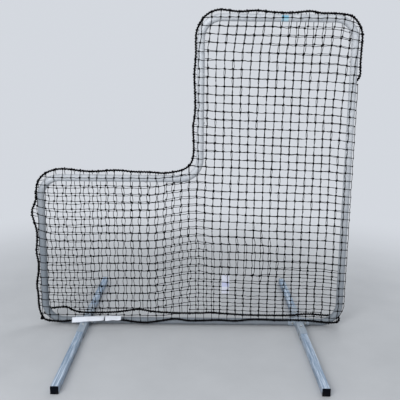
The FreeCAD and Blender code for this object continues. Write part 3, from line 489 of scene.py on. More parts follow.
def softbox(name, place, power):
    lamp = bpy.data.lights.new(name, "AREA")
    lamp.shape = "DISK"
    lamp.size = LAMP_SIZE
    lamp.energy = power
    lit = put(name, lamp)
    lit.location = place
    aim = LAMPS_AIM_AT - Vector(place)
    lit.rotation_euler = aim.to_track_quat("-Z", "Y").to_euler()


softbox("key_lamp", (-2.2, -4.8, 3.0), power=190.0)
softbox("back_lamp", (2.5, 3.6, 4.6), power=60.0)

# %% [markdown]
# Each kept solid gets its finish in its material slots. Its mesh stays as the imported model
# has it.

# %% Dress the solids
def dress(names, material, slot):
    for name in names:
        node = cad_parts[name]
        node.data.materials.clear()
        node.data.materials.append(material)
    print(slot, "on", len(names), "nodes")


dress(["lower_left_corner", "left_post", "low_shoulder", "inner_corner",
       "upper_left_corner", "top_rail", "upper_right_corner", "right_post",
       "lower_right_corner", "bottom_rail"], TUBE_FINISH, "galvanised_tube")
dress(["left_skid_connector", "right_skid_connector"], CONNECTOR_FINISH,
      "galvanised_connector")
skid_ends = [f"{side}_{end}" for side in ("left", "right") for end in ("front", "rear")]
dress([f"{end}_skid" for end in skid_ends], SKID_FINISH, "galvanised_skid")
dress([f"{end}_cap" for end in skid_ends], CAP_FINISH, "black_cap")
dress(["frame_screws", "skid_bolts", "collar_bolts"], SCREW_FINISH, "zinc_screw")

# %% [markdown]
# Ropes. Each rope is laid along its route, the same chosen points as the solid follows. The
# route becomes a smooth NURBS spline, and three strands are wound round it. The spline's
# order and its end setting are given after the points, because before them they don't hold.

# %% Helpers for routes
def new_curve(name, kind, lines):
    curve = bpy.data.curves.new(name, "CURVE")
    curve.dimensions = "3D"
    for places in lines:
        spline = curve.splines.new(kind)
        spline.points.add(len(places) - 1)
        for knot, place in zip(spline.points, places):
            knot.co = (*place, 1.0)
    return curve


def curve_mesh(shape):
    carrier = put(shape.name, shape)
    bpy.context.view_layer.update()
    mesh = bpy.data.meshes.new_from_object(
        carrier.evaluated_get(bpy.context.evaluated_depsgraph_get()))
    bpy.data.objects.remove(carrier)
    return mesh


def read_route(points, name):
    line = new_curve(name, "NURBS", [points])
    spline = line.splines[0]
    spline.order_u = 3
    spline.use_endpoint_u = True
    spline.resolution_u = 24
    mesh = curve_mesh(line)
    route = [vertex.co.copy() for vertex in mesh.vertices]
    bpy.data.meshes.remove(mesh)
    return route


def even_steps(route, step):
    lengths = [0.0]
    for a, b in zip(route, route[1:]):
        lengths.append(lengths[-1] + (b - a).length)
    count = round(lengths[-1] / step)
    places, at = [], 0
    for i in range(count + 1):
        wanted = lengths[-1] * i / count
        while at < len(route) - 2 and lengths[at + 1] < wanted:
            at += 1
        share = (wanted - lengths[at]) / (lengths[at + 1] - lengths[at])
        places.append(route[at].lerp(route[at + 1], share))
    return places, lengths[-1]


# %% [markdown]
# A tube round a list of places is a curve with a bevel, made a mesh at once. Blender gives
# such a mesh a map along and round the tube, which the fibres need.

# %% Helper for tubes
def tubes(lines, radius, resolution, name):
    shape = new_curve(name, "POLY", lines)
    shape.bevel_depth = radius
    shape.bevel_resolution = resolution
    shape.use_fill_caps = True
    return curve_mesh(shape)


def add_piece(name, mesh, material):
    mesh.name = name
    mesh.materials.clear()
    mesh.materials.append(material)
    for face in mesh.polygons:
        face.use_smooth = True
        face.material_index = 0
    piece = put(name, mesh)
    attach(piece, "screen")
    print(name, len(mesh.polygons), "faces")
    return piece


# %% [markdown]
# A three-strand rope is three tubes on one helix. The helix needs a frame that doesn't twist
# as the route bends, so each step turns the last sideways direction just enough to stay
# square to the rope.

# %% Helper for a laid rope
STRAND_SHARE = 0.5
LAY_LENGTH = 0.034
STEPS_PER_LAY = 9


def sideways_frames(places):
    side = None
    for i, place in enumerate(places):
        ahead = (places[min(i + 1, len(places) - 1)] - places[max(i - 1, 0)]).normalized()
        if side is None:
            side = ahead.orthogonal().normalized()
        side = (side - ahead * side.dot(ahead)).normalized()
        yield place, side, ahead.cross(side)


def beside(place, side, up, angle, distance):
    return place + (side * math.cos(angle) + up * math.sin(angle)) * distance


def laid_rope(name, route, node):
    places, length = even_steps(route, LAY_LENGTH / STEPS_PER_LAY)
    strand_r = ROPE_R * STRAND_SHARE
    strands = [[], [], []]
    for i, (place, side, up) in enumerate(sideways_frames(places)):
        for number, strand in enumerate(strands):
            angle = math.tau * (i / STEPS_PER_LAY + number / len(strands))
            strand.append(beside(place, side, up, angle, ROPE_R - strand_r))
    rope = add_piece(name, tubes(strands, strand_r, 1, name), ROPE_FINISH)
    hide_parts(node)
    print(name, "is", round(length, 2), "m long")
    return rope


# %% [markdown]
# The border rope runs round the outside of the frame, from the foot of the left post over
# the low side, up past the notch, over the top and down behind the right post. It is pulled
# along by the net's lacing, so it bulges and dips between the ties. Its points are given in
# millimetres from the nearest corner: right, up and, where it leaves its plane, back.

# %% Border rope
LEFT_LINE = LEFT_EDGE - ROPE_R
RIGHT_LINE = RIGHT_EDGE + ROPE_R
LOW_LINE = LOW_TOP + ROPE_R
TOP_LINE = TOP_EDGE + ROPE_R
TALL_LINE = TALL_EDGE - ROPE_R
BEHIND_POST = RIGHT_EDGE - TUBE_R + 0.004


def near(corner_x, corner_z, steps, y=PLANE_Y):
    return [(corner_x + x / 1000, y + sum(back) / 1000, corner_z + z / 1000)
            for x, z, *back in steps]


border_route = read_route(
    near(LEFT_LINE, 0.0, [
        (6, 40, -2), (-8, 72), (-17, 118), (-15, 185), (-24, 250), (-9, 318), (-4, 388),
        (-17, 452), (-8, 520), (-6, 588), (-22, 645), (-36, 706), (-2, 766)])
    + near(LEFT_LINE, LOW_LINE, [
        (-1, -82), (26, -22), (78, 12), (140, 27), (200, 24), (270, 14), (350, 11), (445, 21),
        (505, 20), (565, 12)])
    + near(TALL_EDGE, LOW_LINE, [
        (-265, 12), (-195, 4), (-130, 13), (-72, 27), (-28, 62), (-15, 125), (-17, 200),
        (-22, 282), (-9, 345), (-10, 455), (-18, 568)])
    + near(TALL_LINE, TOP_LINE, [
        (-1, -225), (-4, -165), (-3, -103), (26, -40), (66, -2), (124, 18), (184, 10), (244, 4),
        (306, 12), (356, 11), (416, 4), (516, 0), (576, 7), (634, 14)])
    + near(RIGHT_LINE, TOP_LINE, [
        (-222, 0), (-165, 2), (-118, 0), (-50, -8), (-8, -52), (13, -105), (12, -165),
        (10, -225), (10, -285), (14, -322, 2), (12, -344, 16), (2, -362, 34)])
    + near(BEHIND_POST, TOP_LINE, [(0, -430, 32), (0, -680, 31)])
    + near(BEHIND_POST, 0.0, [
        (0, 900, 31), (-2, 400, 31), (-3, 180, 31), (-8, 118, 31), (-24, 76, 31)]),
    "border_route")
laid_rope("border_rope_strands", border_route, "border_rope")

# %% [markdown]
# Two more ropes lie along the net's lower edges. The front one starts at the left foot,
# passes over the left sleeve with the labels on it, and curls up round the right foot. The
# rear one hangs a little higher, behind the bottom rail. Their points are given like the
# border rope's.

# %% Bottom ropes
SLEEVE_TOP = 0.042
SKID_X = 0.648
FRONT_Y = PLANE_Y - 0.030
REAR_Y = PLANE_Y + 0.030

front_route = read_route(
    near(LEFT_LINE, 0.0, [(6, 40, -8), (28, 31, -18)])
    + near(LEFT_EDGE, 0.0, [(61, 30), (120, 26)], FRONT_Y)
    + near(-SKID_X, 0.0, [(-92, 40, -20)], FRONT_Y)
    + near(-SKID_X, SLEEVE_TOP, [(-50, 9, -28), (222, 9, -28)], FRONT_Y)
    + near(-SKID_X, 0.0, [(268, 38, -12)], FRONT_Y)
    + near(0.0, 0.0, [
        (-330, 25), (-284, 22.5), (-193, 35), (-100, 54), (-30, 36), (60, 40), (171, 46),
        (262, 36), (353, 53), (504, 46)], FRONT_Y)
    + near(SKID_X, SLEEVE_TOP, [(-50, 6.2), (40, 6)], FRONT_Y)
    + near(RIGHT_EDGE, 0.0, [(-108, 33), (-48, 31, 2)], FRONT_Y)
    + near(RIGHT_EDGE, 0.0, [(-18, 37, -12), (-14, 55, 12), (-26, 70, 26)]),
    "front_route")
front_rope = laid_rope("front_bottom_rope_strands", front_route, "front_bottom_rope")

rear_route = read_route(
    near(LEFT_LINE, 0.0, [(13, 64, 8)])
    + near(LEFT_EDGE, 0.0, [
        (28, 79, -1), (62, 92), (104, 94), (146, 98), (172, 78), (202, 67)], REAR_Y)
    + near(-SKID_X, SLEEVE_TOP, [(-20, 18)], REAR_Y)
    + near(0.0, 0.0, [
        (-503, 62), (-412, 73), (-335, 88), (-258, 72), (-170, 63.5), (40, 61), (118, 70),
        (170, 62), (250, 58), (328, 52.5), (480, 52)], REAR_Y)
    + near(SKID_X, SLEEVE_TOP, [(-40, 10.5), (54, 24)], REAR_Y)
    + near(RIGHT_EDGE, 0.0, [(-92, 54), (-44, 58, 1), (-33, 72, 1)], REAR_Y),
    "rear_route")
laid_rope("rear_bottom_rope_strands", rear_route, "rear_bottom_rope")

# %% [markdown]
# The net's mesh is about 48 mm, so each layer has 38 columns and 38 rows of knots, less the
# notch. The rows are one piece across the whole L: they rise under the inside corner, where
# the frame lifts them, and fall a little towards the right post. Three lists of stations
# give the height of some rows at the left, at the tall side's left post and at the right,
# and two more tell how far to the right the first column and that post's column stand. The
# others lie evenly between them.

# %% Where the knots are
TALL_COLUMN = 18
STRETCH_COLUMN = 31
LAST_COLUMN = 37
FIRST_LOW_ROW = 19
LAST_ROW = 37
MIDDLE_X = 0.022
STRETCH_X = -0.607
LEFT_COLUMN_X = -0.914
NOTCH_SLOPE = 0.26
LEFT_END_LIFT = 0.014
RIGHT_END_DROP, TOP_RIGHT_DROP = 0.008, 0.016
SAG_ROWS = 7
LOW_ROWS = [(19, 0.911), (37, 0.068)]
MIDDLE_ROWS = [(0, 1.812), (3, 1.675), (9, 1.394), (27, 0.569), (32, 0.339), (37, 0.088)]
RIGHT_ROWS = [(0, 1.811), (3, 1.668), (7, 1.467), (9, 1.371), (27, 0.545), (37, 0.064)]
RIGHT_COLUMN = [(0, 0.901), (3, 0.901), (9, 0.8835), (15, 0.877), (37, 0.881)]
MIDDLE_COLUMN = [(0, 0.024), (18, 0.025), (27, 0.0165), (37, 0.019)]


def smooth(share):
    share = min(1.0, max(0.0, share))
    return share * share * (3 - 2 * share)


def ramp(value, start, end):
    return smooth((value - start) / (end - start))


def between(stations, row):
    for (row_a, a), (row_b, b) in zip(stations, stations[1:]):
        if row <= row_b:
            break
    return a + (b - a) * (row - row_a) / (row_b - row_a)


def front_knot(column, row):
    middle_x = between(MIDDLE_COLUMN, row)
    columns = [(0, between(RIGHT_COLUMN, row)), (TALL_COLUMN, middle_x),
               (STRETCH_COLUMN, STRETCH_X), (LAST_COLUMN, LEFT_COLUMN_X)]
    x = between(columns, column)
    middle = between(MIDDLE_ROWS, row)
    if x < MIDDLE_X:
        low = between(LOW_ROWS, row)
        z = low + (middle - low) * ramp(x, MIDDLE_X - NOTCH_SLOPE, MIDDLE_X)
        z += LEFT_END_LIFT * ramp(x, -0.85, -0.91) * ramp(row, 30, 25)
    else:
        right_z = between(RIGHT_ROWS, row)
        z = middle + (right_z - middle) * (x - MIDDLE_X) / (RIGHT_EDGE - MIDDLE_X)
        drop = RIGHT_END_DROP + TOP_RIGHT_DROP * max(0.0, 1 - row / SAG_ROWS)
        z -= drop * ramp(x, 0.76, 0.90)
    return x, z


print("first knot", front_knot(0, 0), "last knot", front_knot(LAST_COLUMN, LAST_ROW))

# %% [markdown]
# Seen from the camera the two layers nearly coincide on the upper tall side and drift apart
# elsewhere, which gives the net its changing pattern. So a rear knot starts where the camera
# sees it behind its front knot. On the low side it moves to the right, most at the left end,
# and hangs lower there and high up, as it does at the top right. Under the notch it moves up.
# On the lower tall side it moves to the right, and near the ground it moves up, because the
# rear rope hangs higher there. The topmost rows of both layers lean to the right.

# %% Rear knots and slant
FRONT_NET_Y = PLANE_Y - NET_OUT
REAR_NET_Y = PLANE_Y + NET_OUT
SLANT, SLANT_ROWS = 0.020, 4
WANDER = 0.0038
LOW_SIDE_SHIFT, LEFT_END_SHIFT, LOWER_SHIFT = 0.012, 0.011, 0.014
NOTCH_RISE, LOWER_NOTCH_RISE = 0.011, 0.005
FOOT_RISE, RIGHT_FOOT_RISE = 0.022, 0.009
REAR_SAG = 0.014


def slant(row):
    return SLANT * max(0.0, 1 - row / SLANT_ROWS)


def right_share(x):
    return ramp(x, 0.3, 0.7)


def foot_share(x, z):
    right_side = right_share(x)
    return ramp(z, 0.345 + 0.155 * right_side, 0.235 - 0.095 * right_side)


def behind_front(column, row):
    x, z = front_knot(column, row)
    place = camera.matrix_world.translation
    spread = (REAR_NET_Y - place.y) / (FRONT_NET_Y - place.y)
    return place.x + (x - place.x) * spread, place.z + (z - place.z) * spread


def rear_knot(column, row):
    x, z = behind_front(column, row)
    low_side = ramp(x, MIDDLE_X, MIDDLE_X - 0.25)
    right_side = right_share(x)
    left_end = low_side * ramp(x, -0.45, -0.75)
    high_up = low_side * ramp(z, 0.62, 0.82)
    lower = ramp(z, 0.57, 0.48)
    under_notch = ramp(x, -0.30, -0.15) * ramp(x, 0.11, 0.03)
    notch_rise = (NOTCH_RISE + LOWER_NOTCH_RISE * lower) * under_notch
    foot = foot_share(x, z)
    foot_rise = foot * (FOOT_RISE + RIGHT_FOOT_RISE * right_side) * (1 - low_side)
    shifted = lower * ramp(x, 0.75, 0.30) * (1 - foot * ramp(x, 0.08, 0.18))
    x += max(LOW_SIDE_SHIFT * low_side, LOWER_SHIFT * shifted)
    x += LEFT_END_SHIFT * left_end + slant(row) * (1 - right_side)
    x += WANDER * math.sin(0.7 * column + 0.25 * row)
    z += 0.8 * WANDER * math.sin(0.6 * row + 0.3 * column)
    z += max(notch_rise, foot_rise)
    top_right = right_side * max(0.0, 1 - row / SAG_ROWS)
    z -= REAR_SAG * (top_right + max(left_end, high_up * (1 - under_notch)))
    return x, z


print("behind it", rear_knot(0, 0), "and", rear_knot(LAST_COLUMN, LAST_ROW))

# %% [markdown]
# The net bends back over the outer half of each tube to reach the rope. How far depends on
# the distance past the tube's centre line, so the frame's outline is written as a distance:
# two rounded rectangles, joined by the round inside corner under the notch. The net follows
# the tube's round side for the first part of the way, and then runs straight to the rope.

# %% Distance past the frame's centre line
BEND_R = 0.1143
RIGHT_X = RIGHT_EDGE - TUBE_R
LEFT_X = LEFT_EDGE + TUBE_R
TALL_X = TALL_EDGE + TUBE_R
TOP_Z = TOP_EDGE - TUBE_R
LOW_Z = LOW_TOP - TUBE_R
RAIL_Z = 0.024
ROUND_SHARE = 0.85
LEAVES_AT = 0.527
BACK_IN_PLANE = 0.014


def past_rounded(x, z, low_x, high_x, low_z, high_z):
    out_x = abs(x - (low_x + high_x) / 2) - (high_x - low_x) / 2 + BEND_R
    out_z = abs(z - (low_z + high_z) / 2) - (high_z - low_z) / 2 + BEND_R
    corner = math.hypot(max(out_x, 0.0), max(out_z, 0.0))
    return corner + min(max(out_x, out_z), 0.0) - BEND_R


def past_tube(x, z):
    centre_x, centre_z = TALL_X - BEND_R, LOW_Z + BEND_R
    if centre_x < x < TALL_X + TUBE_R and LOW_Z - TUBE_R < z < centre_z:
        return BEND_R - math.hypot(x - centre_x, z - centre_z)
    tall = past_rounded(x, z, TALL_X, RIGHT_X, RAIL_Z, TOP_Z)
    low = past_rounded(x, z, LEFT_X, RIGHT_X, RAIL_Z, LOW_Z)
    return min(tall, low)


def off_plane(past):
    if past <= 0:
        return NET_OUT
    if past < ROUND_SHARE * NET_OUT:
        return math.sqrt(NET_OUT ** 2 - past ** 2)
    beyond = (past - ROUND_SHARE * NET_OUT) / BACK_IN_PLANE
    return LEAVES_AT * NET_OUT * max(0.0, 1 - beyond)


print("past the top rail", round(past_tube(0.5, TOP_Z + 0.01), 4),
      "inside", round(past_tube(0.5, 0.5), 4))

# %% [markdown]
# Each row and column of twine runs on to the rope and is tied there. The nearest place where
# the line, carried on straight, crosses the rope's route tells where.

# %% Where a twine meets a rope
TINY = 1e-12
TIE_REACH = 0.13


def crossing(start, heading, route):
    best, nearest = None, TIE_REACH
    for a, b in zip(route, route[1:]):
        along_x, along_z = b.x - a.x, b.z - a.z
        divisor = heading.x * along_z - heading.y * along_x
        if abs(divisor) < TINY:
            continue
        gap_x, gap_z = a.x - start.x, a.z - start.z
        distance = (gap_x * along_z - gap_z * along_x) / divisor
        share = (gap_x * heading.y - gap_z * heading.x) / divisor
        if 0 <= share <= 1 and 0 < distance < nearest:
            nearest = distance
            best = (a.lerp(b, share), (b - a).normalized())
    return best


# %% [markdown]
# Now the knots of one layer. A knot is left out where it would lie past the outer edge of a
# tube, as at the rounded corners, too near the bottom rope, or behind the right post where
# the front layer wraps round it. Handwork isn't perfectly even, so each knot is shifted by a
# millimetre or so, always the same way because the draw is seeded.

# %% Knots of a layer
KNOT_LIMIT = 0.0215
KNOT_SHIFT = 0.0018
SILL_GAP = 0.016
NO_SILL = 0.05
WRAP_TOP = 1.47
WRAP_FREE = 0.009
draw = random.Random(11)


def jitter(amount):
    return amount * draw.uniform(-1, 1)


def rope_height(route, x):
    for a, b in zip(route, route[1:]):
        if a.x <= x <= b.x:
            return a.z + (b.z - a.z) * (x - a.x) / max(b.x - a.x, TINY)
    return NO_SILL


def layer_knots(knot_place, side, sill):
    knots = {}
    for row in range(LAST_ROW + 1):
        for column in range(LAST_COLUMN + 1):
            shift_x, shift_z = jitter(KNOT_SHIFT), jitter(KNOT_SHIFT)
            if row < FIRST_LOW_ROW and column > TALL_COLUMN:
                continue
            x, z = knot_place(column, row)
            x, z = x + shift_x, z + shift_z
            past = past_tube(x, z)
            behind = side > 0 and x > RIGHT_X - WRAP_FREE and z < WRAP_TOP
            if past > KNOT_LIMIT or behind or z < rope_height(sill, x) + SILL_GAP:
                continue
            knots[column, row] = Vector((x, PLANE_Y + side * off_plane(past), z))
    return knots


def slanted_front(column, row):
    x, z = front_knot(column, row)
    return x + slant(row), z


front_knots = layer_knots(slanted_front, -1, front_route)
rear_knots = layer_knots(rear_knot, 1, rear_route)
print("knots:", len(front_knots), "in front,", len(rear_knots), "behind")

# %% [markdown]
# A twine runs from knot to knot with a little slack. Each mesh side gets two points between
# its knots, shifted a little, and bent back over the tube where there is one. The upright
# sides bow to the left and right in turn, because each knot turns its twines the other way.

# %% Twines between knots
SLACK = 0.0018
BOW = 0.0034
TALL_BOW = 0.0014
TO_TIE = (0.3, 0.6, 0.85)
LABELLED = (-0.735, -0.415)


def on_net(x, z, side):
    return PLANE_Y + side * off_plane(past_tube(x, z))


def mesh_side(a, b, side, bow):
    points = []
    for share in (1 / 3, 2 / 3):
        point = a.lerp(b, share)
        point.x += jitter(SLACK) + bow
        point.z += jitter(SLACK) - SLACK / 2
        point.y = on_net(point.x, point.z, side)
        points.append(point)
    return points


def under_label(route, place):
    return route is front_route and LABELLED[0] < place.x < LABELLED[1]


def tied_end(last, before, route, side, ties):
    heading = Vector((last.x - before.x, last.z - before.z)).normalized()
    found = crossing(last, heading, route)
    if found is None:
        return []
    place, along = found
    if not under_label(route, place):
        ties.append((place, along))
    points = [last.lerp(place, share) for share in TO_TIE]
    if route is border_route:
        for point in points:
            point.y = on_net(point.x, point.z, side)
    return [*points, place]


def run_of_knots(knots, side, bow=0.0):
    points = [knots[0]]
    for a, b in zip(knots, knots[1:]):
        points += [*mesh_side(a, b, side, bow), b]
        bow = -bow
    return points


# %% [markdown]
# Below the place where the border rope slips behind the right post, the front layer wraps
# right round that post. Each row goes on to a knot that stands off the post's outer side and
# then to the rope behind it, and a twine joins those side knots with small scallops.

# %% Rows that wrap round the right post
SIDE_OUT = TUBE_R + 0.0075
SIDE_ANGLE = math.radians(70)
SCALLOP_ANGLE = SIDE_ANGLE + 0.1
BACK_ANGLES = (math.radians(105), math.radians(135))
BEHIND_ANGLE = math.radians(160)
SIDE_DROP = 0.006
SIDE_SHIFT = 0.002
WRAP_REACH = 0.03
BEHIND_Y = PLANE_Y + 0.02
BACK_OUT = NET_OUT + 0.0005


def post_x(z):
    below = max(0.0, RAIL_Z + BEND_R - z)
    return RIGHT_X - BEND_R + math.sqrt(BEND_R ** 2 - min(below, BEND_R) ** 2)


def round_post(angle, radius, z):
    return Vector((post_x(z) + radius * math.sin(angle), PLANE_Y - radius * math.cos(angle), z))


def wrapped_end(last, ties, side_knots):
    behind = [p for p in border_route if p.y > BEHIND_Y]
    place = min(behind, key=lambda p: abs(p.z - last.z + 2 * SIDE_DROP)).copy()
    ties.append((place, Vector((0, 0, 1))))
    start = math.asin(max(-1.0, min(1.0, (last.x - post_x(last.z)) / NET_OUT)))
    points = [round_post(start + (SIDE_ANGLE - start) * share, NET_OUT + SIDE_SHIFT * share,
                         last.z - SIDE_DROP * share * share) for share in TO_TIE]
    knot = round_post(SIDE_ANGLE, SIDE_OUT + jitter(SIDE_SHIFT),
                      last.z - SIDE_DROP * draw.uniform(0.8, 1.2))
    side_knots.append(knot)
    points.append(knot)
    for angle in BACK_ANGLES:
        share = (angle - SIDE_ANGLE) / (BEHIND_ANGLE - SIDE_ANGLE)
        points.append(round_post(angle, BACK_OUT, knot.z + (place.z - knot.z) * share))
    return [*points, place]


def side_scallops(side_knots):
    ordered = sorted(side_knots, key=lambda p: -p.z)
    points = [ordered[0]]
    for a, b in zip(ordered, ordered[1:]):
        points += [round_post(SCALLOP_ANGLE, SIDE_OUT + SIDE_SHIFT * draw.uniform(-1, 0.6),
                              a.z + (b.z - a.z) * share) for share in (0.3, 0.7)]
        points.append(b)
    return points


print("the post's centre is at", round(post_x(1.0), 4), "and", round(post_x(RAIL_Z), 4))

# %% [markdown]
# All the twines of a layer: its rows from end to end, its columns from top to bottom, each
# with its ties at the rope.

# %% Twines of a layer
def twine_lines(knots, side, bottom_route):
    lines, ties, side_knots = [], [], []
    for row in range(LAST_ROW + 1):
        chain = [knots[c, row] for c in range(LAST_COLUMN, -1, -1) if (c, row) in knots]
        if len(chain) < 2:
            continue
        left = tied_end(chain[0], chain[1], border_route, side, ties)
        last = chain[-1]
        if side < 0 and last.z < WRAP_TOP and last.x > post_x(last.z) - WRAP_REACH:
            right = wrapped_end(last, ties, side_knots)
        else:
            right = tied_end(last, chain[-2], border_route, side, ties)
        lines.append([*reversed(left), *run_of_knots(chain, side), *right])
    for column in range(LAST_COLUMN + 1):
        chain = [knots[column, r] for r in range(LAST_ROW + 1) if (column, r) in knots]
        if len(chain) < 2:
            continue
        top = tied_end(chain[0], chain[1], border_route, side, ties)
        foot = tied_end(chain[-1], chain[-2], bottom_route, side, ties)
        bow = side * (TALL_BOW if column <= TALL_COLUMN else BOW) * (1 - 2 * (column % 2))
        lines.append([*reversed(top), *run_of_knots(chain, side, bow), *foot])
    if side_knots:
        lines.append(side_scallops(side_knots))
    return lines, ties, side_knots


front_lines, front_ties, front_side_knots = twine_lines(front_knots, -1, front_route)
rear_lines, rear_ties, _ = twine_lines(rear_knots, 1, rear_route)
print("twines:", len(front_lines), "in front,", len(rear_lines), "behind")

# %% [markdown]
# A netting knot is a lump with one turn of twine drawn tight across it. Hundreds of them
# repeat, so each is a ball of twenty faces inside a slanting ring, pressed flat by the pull.

# %% One knot
KNOT_R = 0.0060
TURN_R, TURN_TWINE_R = 0.0054, 0.0014
TURN_LEAN = math.radians(50)
KNOT_FLATNESS = 0.42


def add_lump(bm, radius, fineness, place, stretch):
    bmesh.ops.create_icosphere(bm, subdivisions=fineness, radius=radius,
                               matrix=place @ Matrix.Diagonal((*stretch, 1.0)))


def ring_mesh(radius, thickness, around, section):
    bm = bmesh.new()
    circle = bmesh.ops.create_circle(bm, segments=section, radius=thickness,
                                     matrix=Matrix.Translation((radius, 0, 0))
                                     @ Matrix.Rotation(math.pi / 2, 4, "X"))
    bmesh.ops.spin(bm, geom=circle["verts"] + bm.edges[:], axis=(0, 0, 1), cent=(0, 0, 0),
                   angle=math.tau, steps=around, use_merge=True, use_duplicate=False)
    bmesh.ops.remove_doubles(bm, verts=bm.verts, dist=1e-6)
    bmesh.ops.recalc_face_normals(bm, faces=bm.faces)
    return finished_mesh(bm, "ring")


def scatter(bm, template, places):
    for matrix in places:
        copy = template.copy()
        copy.transform(matrix)
        bm.from_mesh(copy)
        bpy.data.meshes.remove(copy)


bm = bmesh.new()
add_lump(bm, KNOT_R, 1, Matrix(), (1.15, 1.0, 1.0))
turn = ring_mesh(TURN_R, TURN_TWINE_R, around=7, section=4)
scatter(bm, turn, [Matrix.Rotation(TURN_LEAN, 4, "Y")])
bmesh.ops.scale(bm, vec=(1.0, KNOT_FLATNESS, 1.0), verts=bm.verts)
one_knot = finished_mesh(bm, "knot")
print("one knot has", len(one_knot.polygons), "faces")

# %% [markdown]
# A layer is its twines and knots in one mesh. Knots lean one way in even rows and the other
# way in odd rows, because the net is turned over after each row when it is made.

# %% Net layers
def knot_places(knots, side_knots):
    for (column, row), place in knots.items():
        lean = Matrix.Rotation(math.pi * (row % 2), 4, "Z")
        spread = Matrix.Rotation(draw.uniform(-0.3, 0.3), 4, "Y")
        size = Matrix.Scale(draw.uniform(0.9, 1.1), 4)
        yield Matrix.Translation(place) @ lean @ spread @ size
    for place in side_knots:
        yield Matrix.Translation(place) @ Matrix.Rotation(math.pi / 2, 4, "Z")


def net_layer(name, lines, knots, side_knots, nodes):
    twines = tubes(lines, TWINE_R, 1, name)
    bm = bmesh.new()
    bm.from_mesh(twines)
    scatter(bm, one_knot, knot_places(knots, side_knots))
    bm.to_mesh(twines)
    bm.free()
    net = add_piece(name, twines, TWINE_FINISH)
    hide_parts(*nodes)


net_layer("front_net", front_lines, front_knots, front_side_knots,
          ["front_net_tall", "front_net_low"])
net_layer("rear_net", rear_lines, rear_knots, [], ["rear_net_tall", "rear_net_low"])

# %% [markdown]
# Where a twine reaches a rope it is wound round it and pulled tight. Each tie is a ring of
# twine square to the rope, with its hitch as a lump on one side.

# %% Ties on the ropes
TIE_TURN_R = ROPE_R + 0.0008
HITCH_R, HITCH_OUT = 0.0036, ROPE_R + 0.0015


def square_to(place, along):
    return Matrix.Translation(place) @ along.to_track_quat("Z", "Y").to_matrix().to_4x4()


def tie_places(ties):
    for place, along in ties:
        tilt = Matrix.Rotation(draw.uniform(-0.25, 0.25), 4, "X")
        roll = Matrix.Rotation(draw.uniform(0, math.tau), 4, "Z")
        yield square_to(place, along) @ tilt @ roll


bm = bmesh.new()
bm.from_mesh(ring_mesh(TIE_TURN_R, TWINE_R, around=12, section=4))
add_lump(bm, HITCH_R, 1, Matrix.Translation((HITCH_OUT, 0, 0)), (1.0, 1.2, 1.5))
one_tie = finished_mesh(bm, "tie")
bm = bmesh.new()
scatter(bm, one_tie, tie_places(front_ties + rear_ties))
add_piece("net_ties", finished_mesh(bm, "net_ties"), TWINE_FINISH)
print(len(front_ties) + len(rear_ties), "ties")

# %% [markdown]
# Between the ties the same twine is whipped along the rope, one turn every 15 mm or so. That
# lacing makes the rope thicker and rougher than its three strands alone.

# %% Lacing round the ropes
LACING_PITCH = 0.015
LACING_STEPS = 8
LACING_OUT = ROPE_R + 0.0012
LACING_SWAY, SWAY_RATE = 0.5, 0.13


def laced_stretches(route):
    places, _ = even_steps(route, LACING_PITCH / LACING_STEPS)
    stretches = [[]]
    for i, (place, side, up) in enumerate(sideways_frames(places)):
        if under_label(route, place):
            if stretches[-1]:
                stretches.append([])
            continue
        angle = math.tau * i / LACING_STEPS + LACING_SWAY * math.sin(SWAY_RATE * i)
        stretches[-1].append(beside(place, side, up, angle, LACING_OUT))
    return stretches


laced = [stretch for route in (border_route, front_route, rear_route)
         for stretch in laced_stretches(route)]
add_piece("rope_lacing", tubes(laced, TWINE_R, 0, "rope_lacing"), TWINE_FINISH)
print(len(laced), "stretches of lacing")

# %% [markdown]
# The ropes meet at the net's two lower corners, where their ends are lashed together: a few
# turns of rope yarn with the tucked ends showing as a lump.

# %% Lashings at the lower corners
LASHING_R, YARN_R, TUCK_R = 0.0095, 0.0028, 0.0085
LASHING_STEP, LASHING_TILT = 0.0042, 0.2
FOUR_TURNS = (-1.5, -0.5, 0.5, 1.5)


def lashing(name, place, along):
    along.normalize()
    bm = bmesh.new()
    scatter(bm, ring_mesh(LASHING_R, YARN_R, around=14, section=6), [
        square_to(place + along * LASHING_STEP * step, along)
        @ Matrix.Rotation(LASHING_TILT * step, 4, "X") for step in FOUR_TURNS])
    add_lump(bm, TUCK_R, 3, square_to(place, along), (1.1, 0.9, 1.3))
    add_piece(name, finished_mesh(bm, name), TWINE_FINISH)


lashing("left_corner_lashing", front_route[0], Vector((0.3, 0.1, 1)))
lashing("right_corner_lashing", front_route[-1], Vector((0.2, 0.2, 1)))

# %% [markdown]
# Two white labels are sewn over the front bottom rope where it crosses the left sleeve. They
# are strips of coated cloth, stiff enough to stand off the rope, with soft waves along their
# free edge. Neither sits square: the long one climbs to the right across the rope, and the
# short one is held near its lower edge. They are left bare.

# %% Label cloth
LABEL_HEIGHT = 0.033
LABEL_THICKNESS = 0.0006
LABEL_ROPE_Y = FRONT_Y - 0.028
LABEL_ROPE_Z = SLEEVE_TOP + 0.009
LABEL_WAVES, WAVE_START = 9, 2

LABEL_FINISH, tree, shader = start_material("white_label", Roughness=0.55)
place = object_place(tree)
soil = remap(tree, grained(tree, place, 30.0), high=0.5)
cloth = mix_colors(tree, soil, (0.75, 0.79, 0.87), (0.60, 0.62, 0.66))
coat(tree, shader, cloth, grained(tree, place, 900.0), strength=0.3, distance=0.0002)


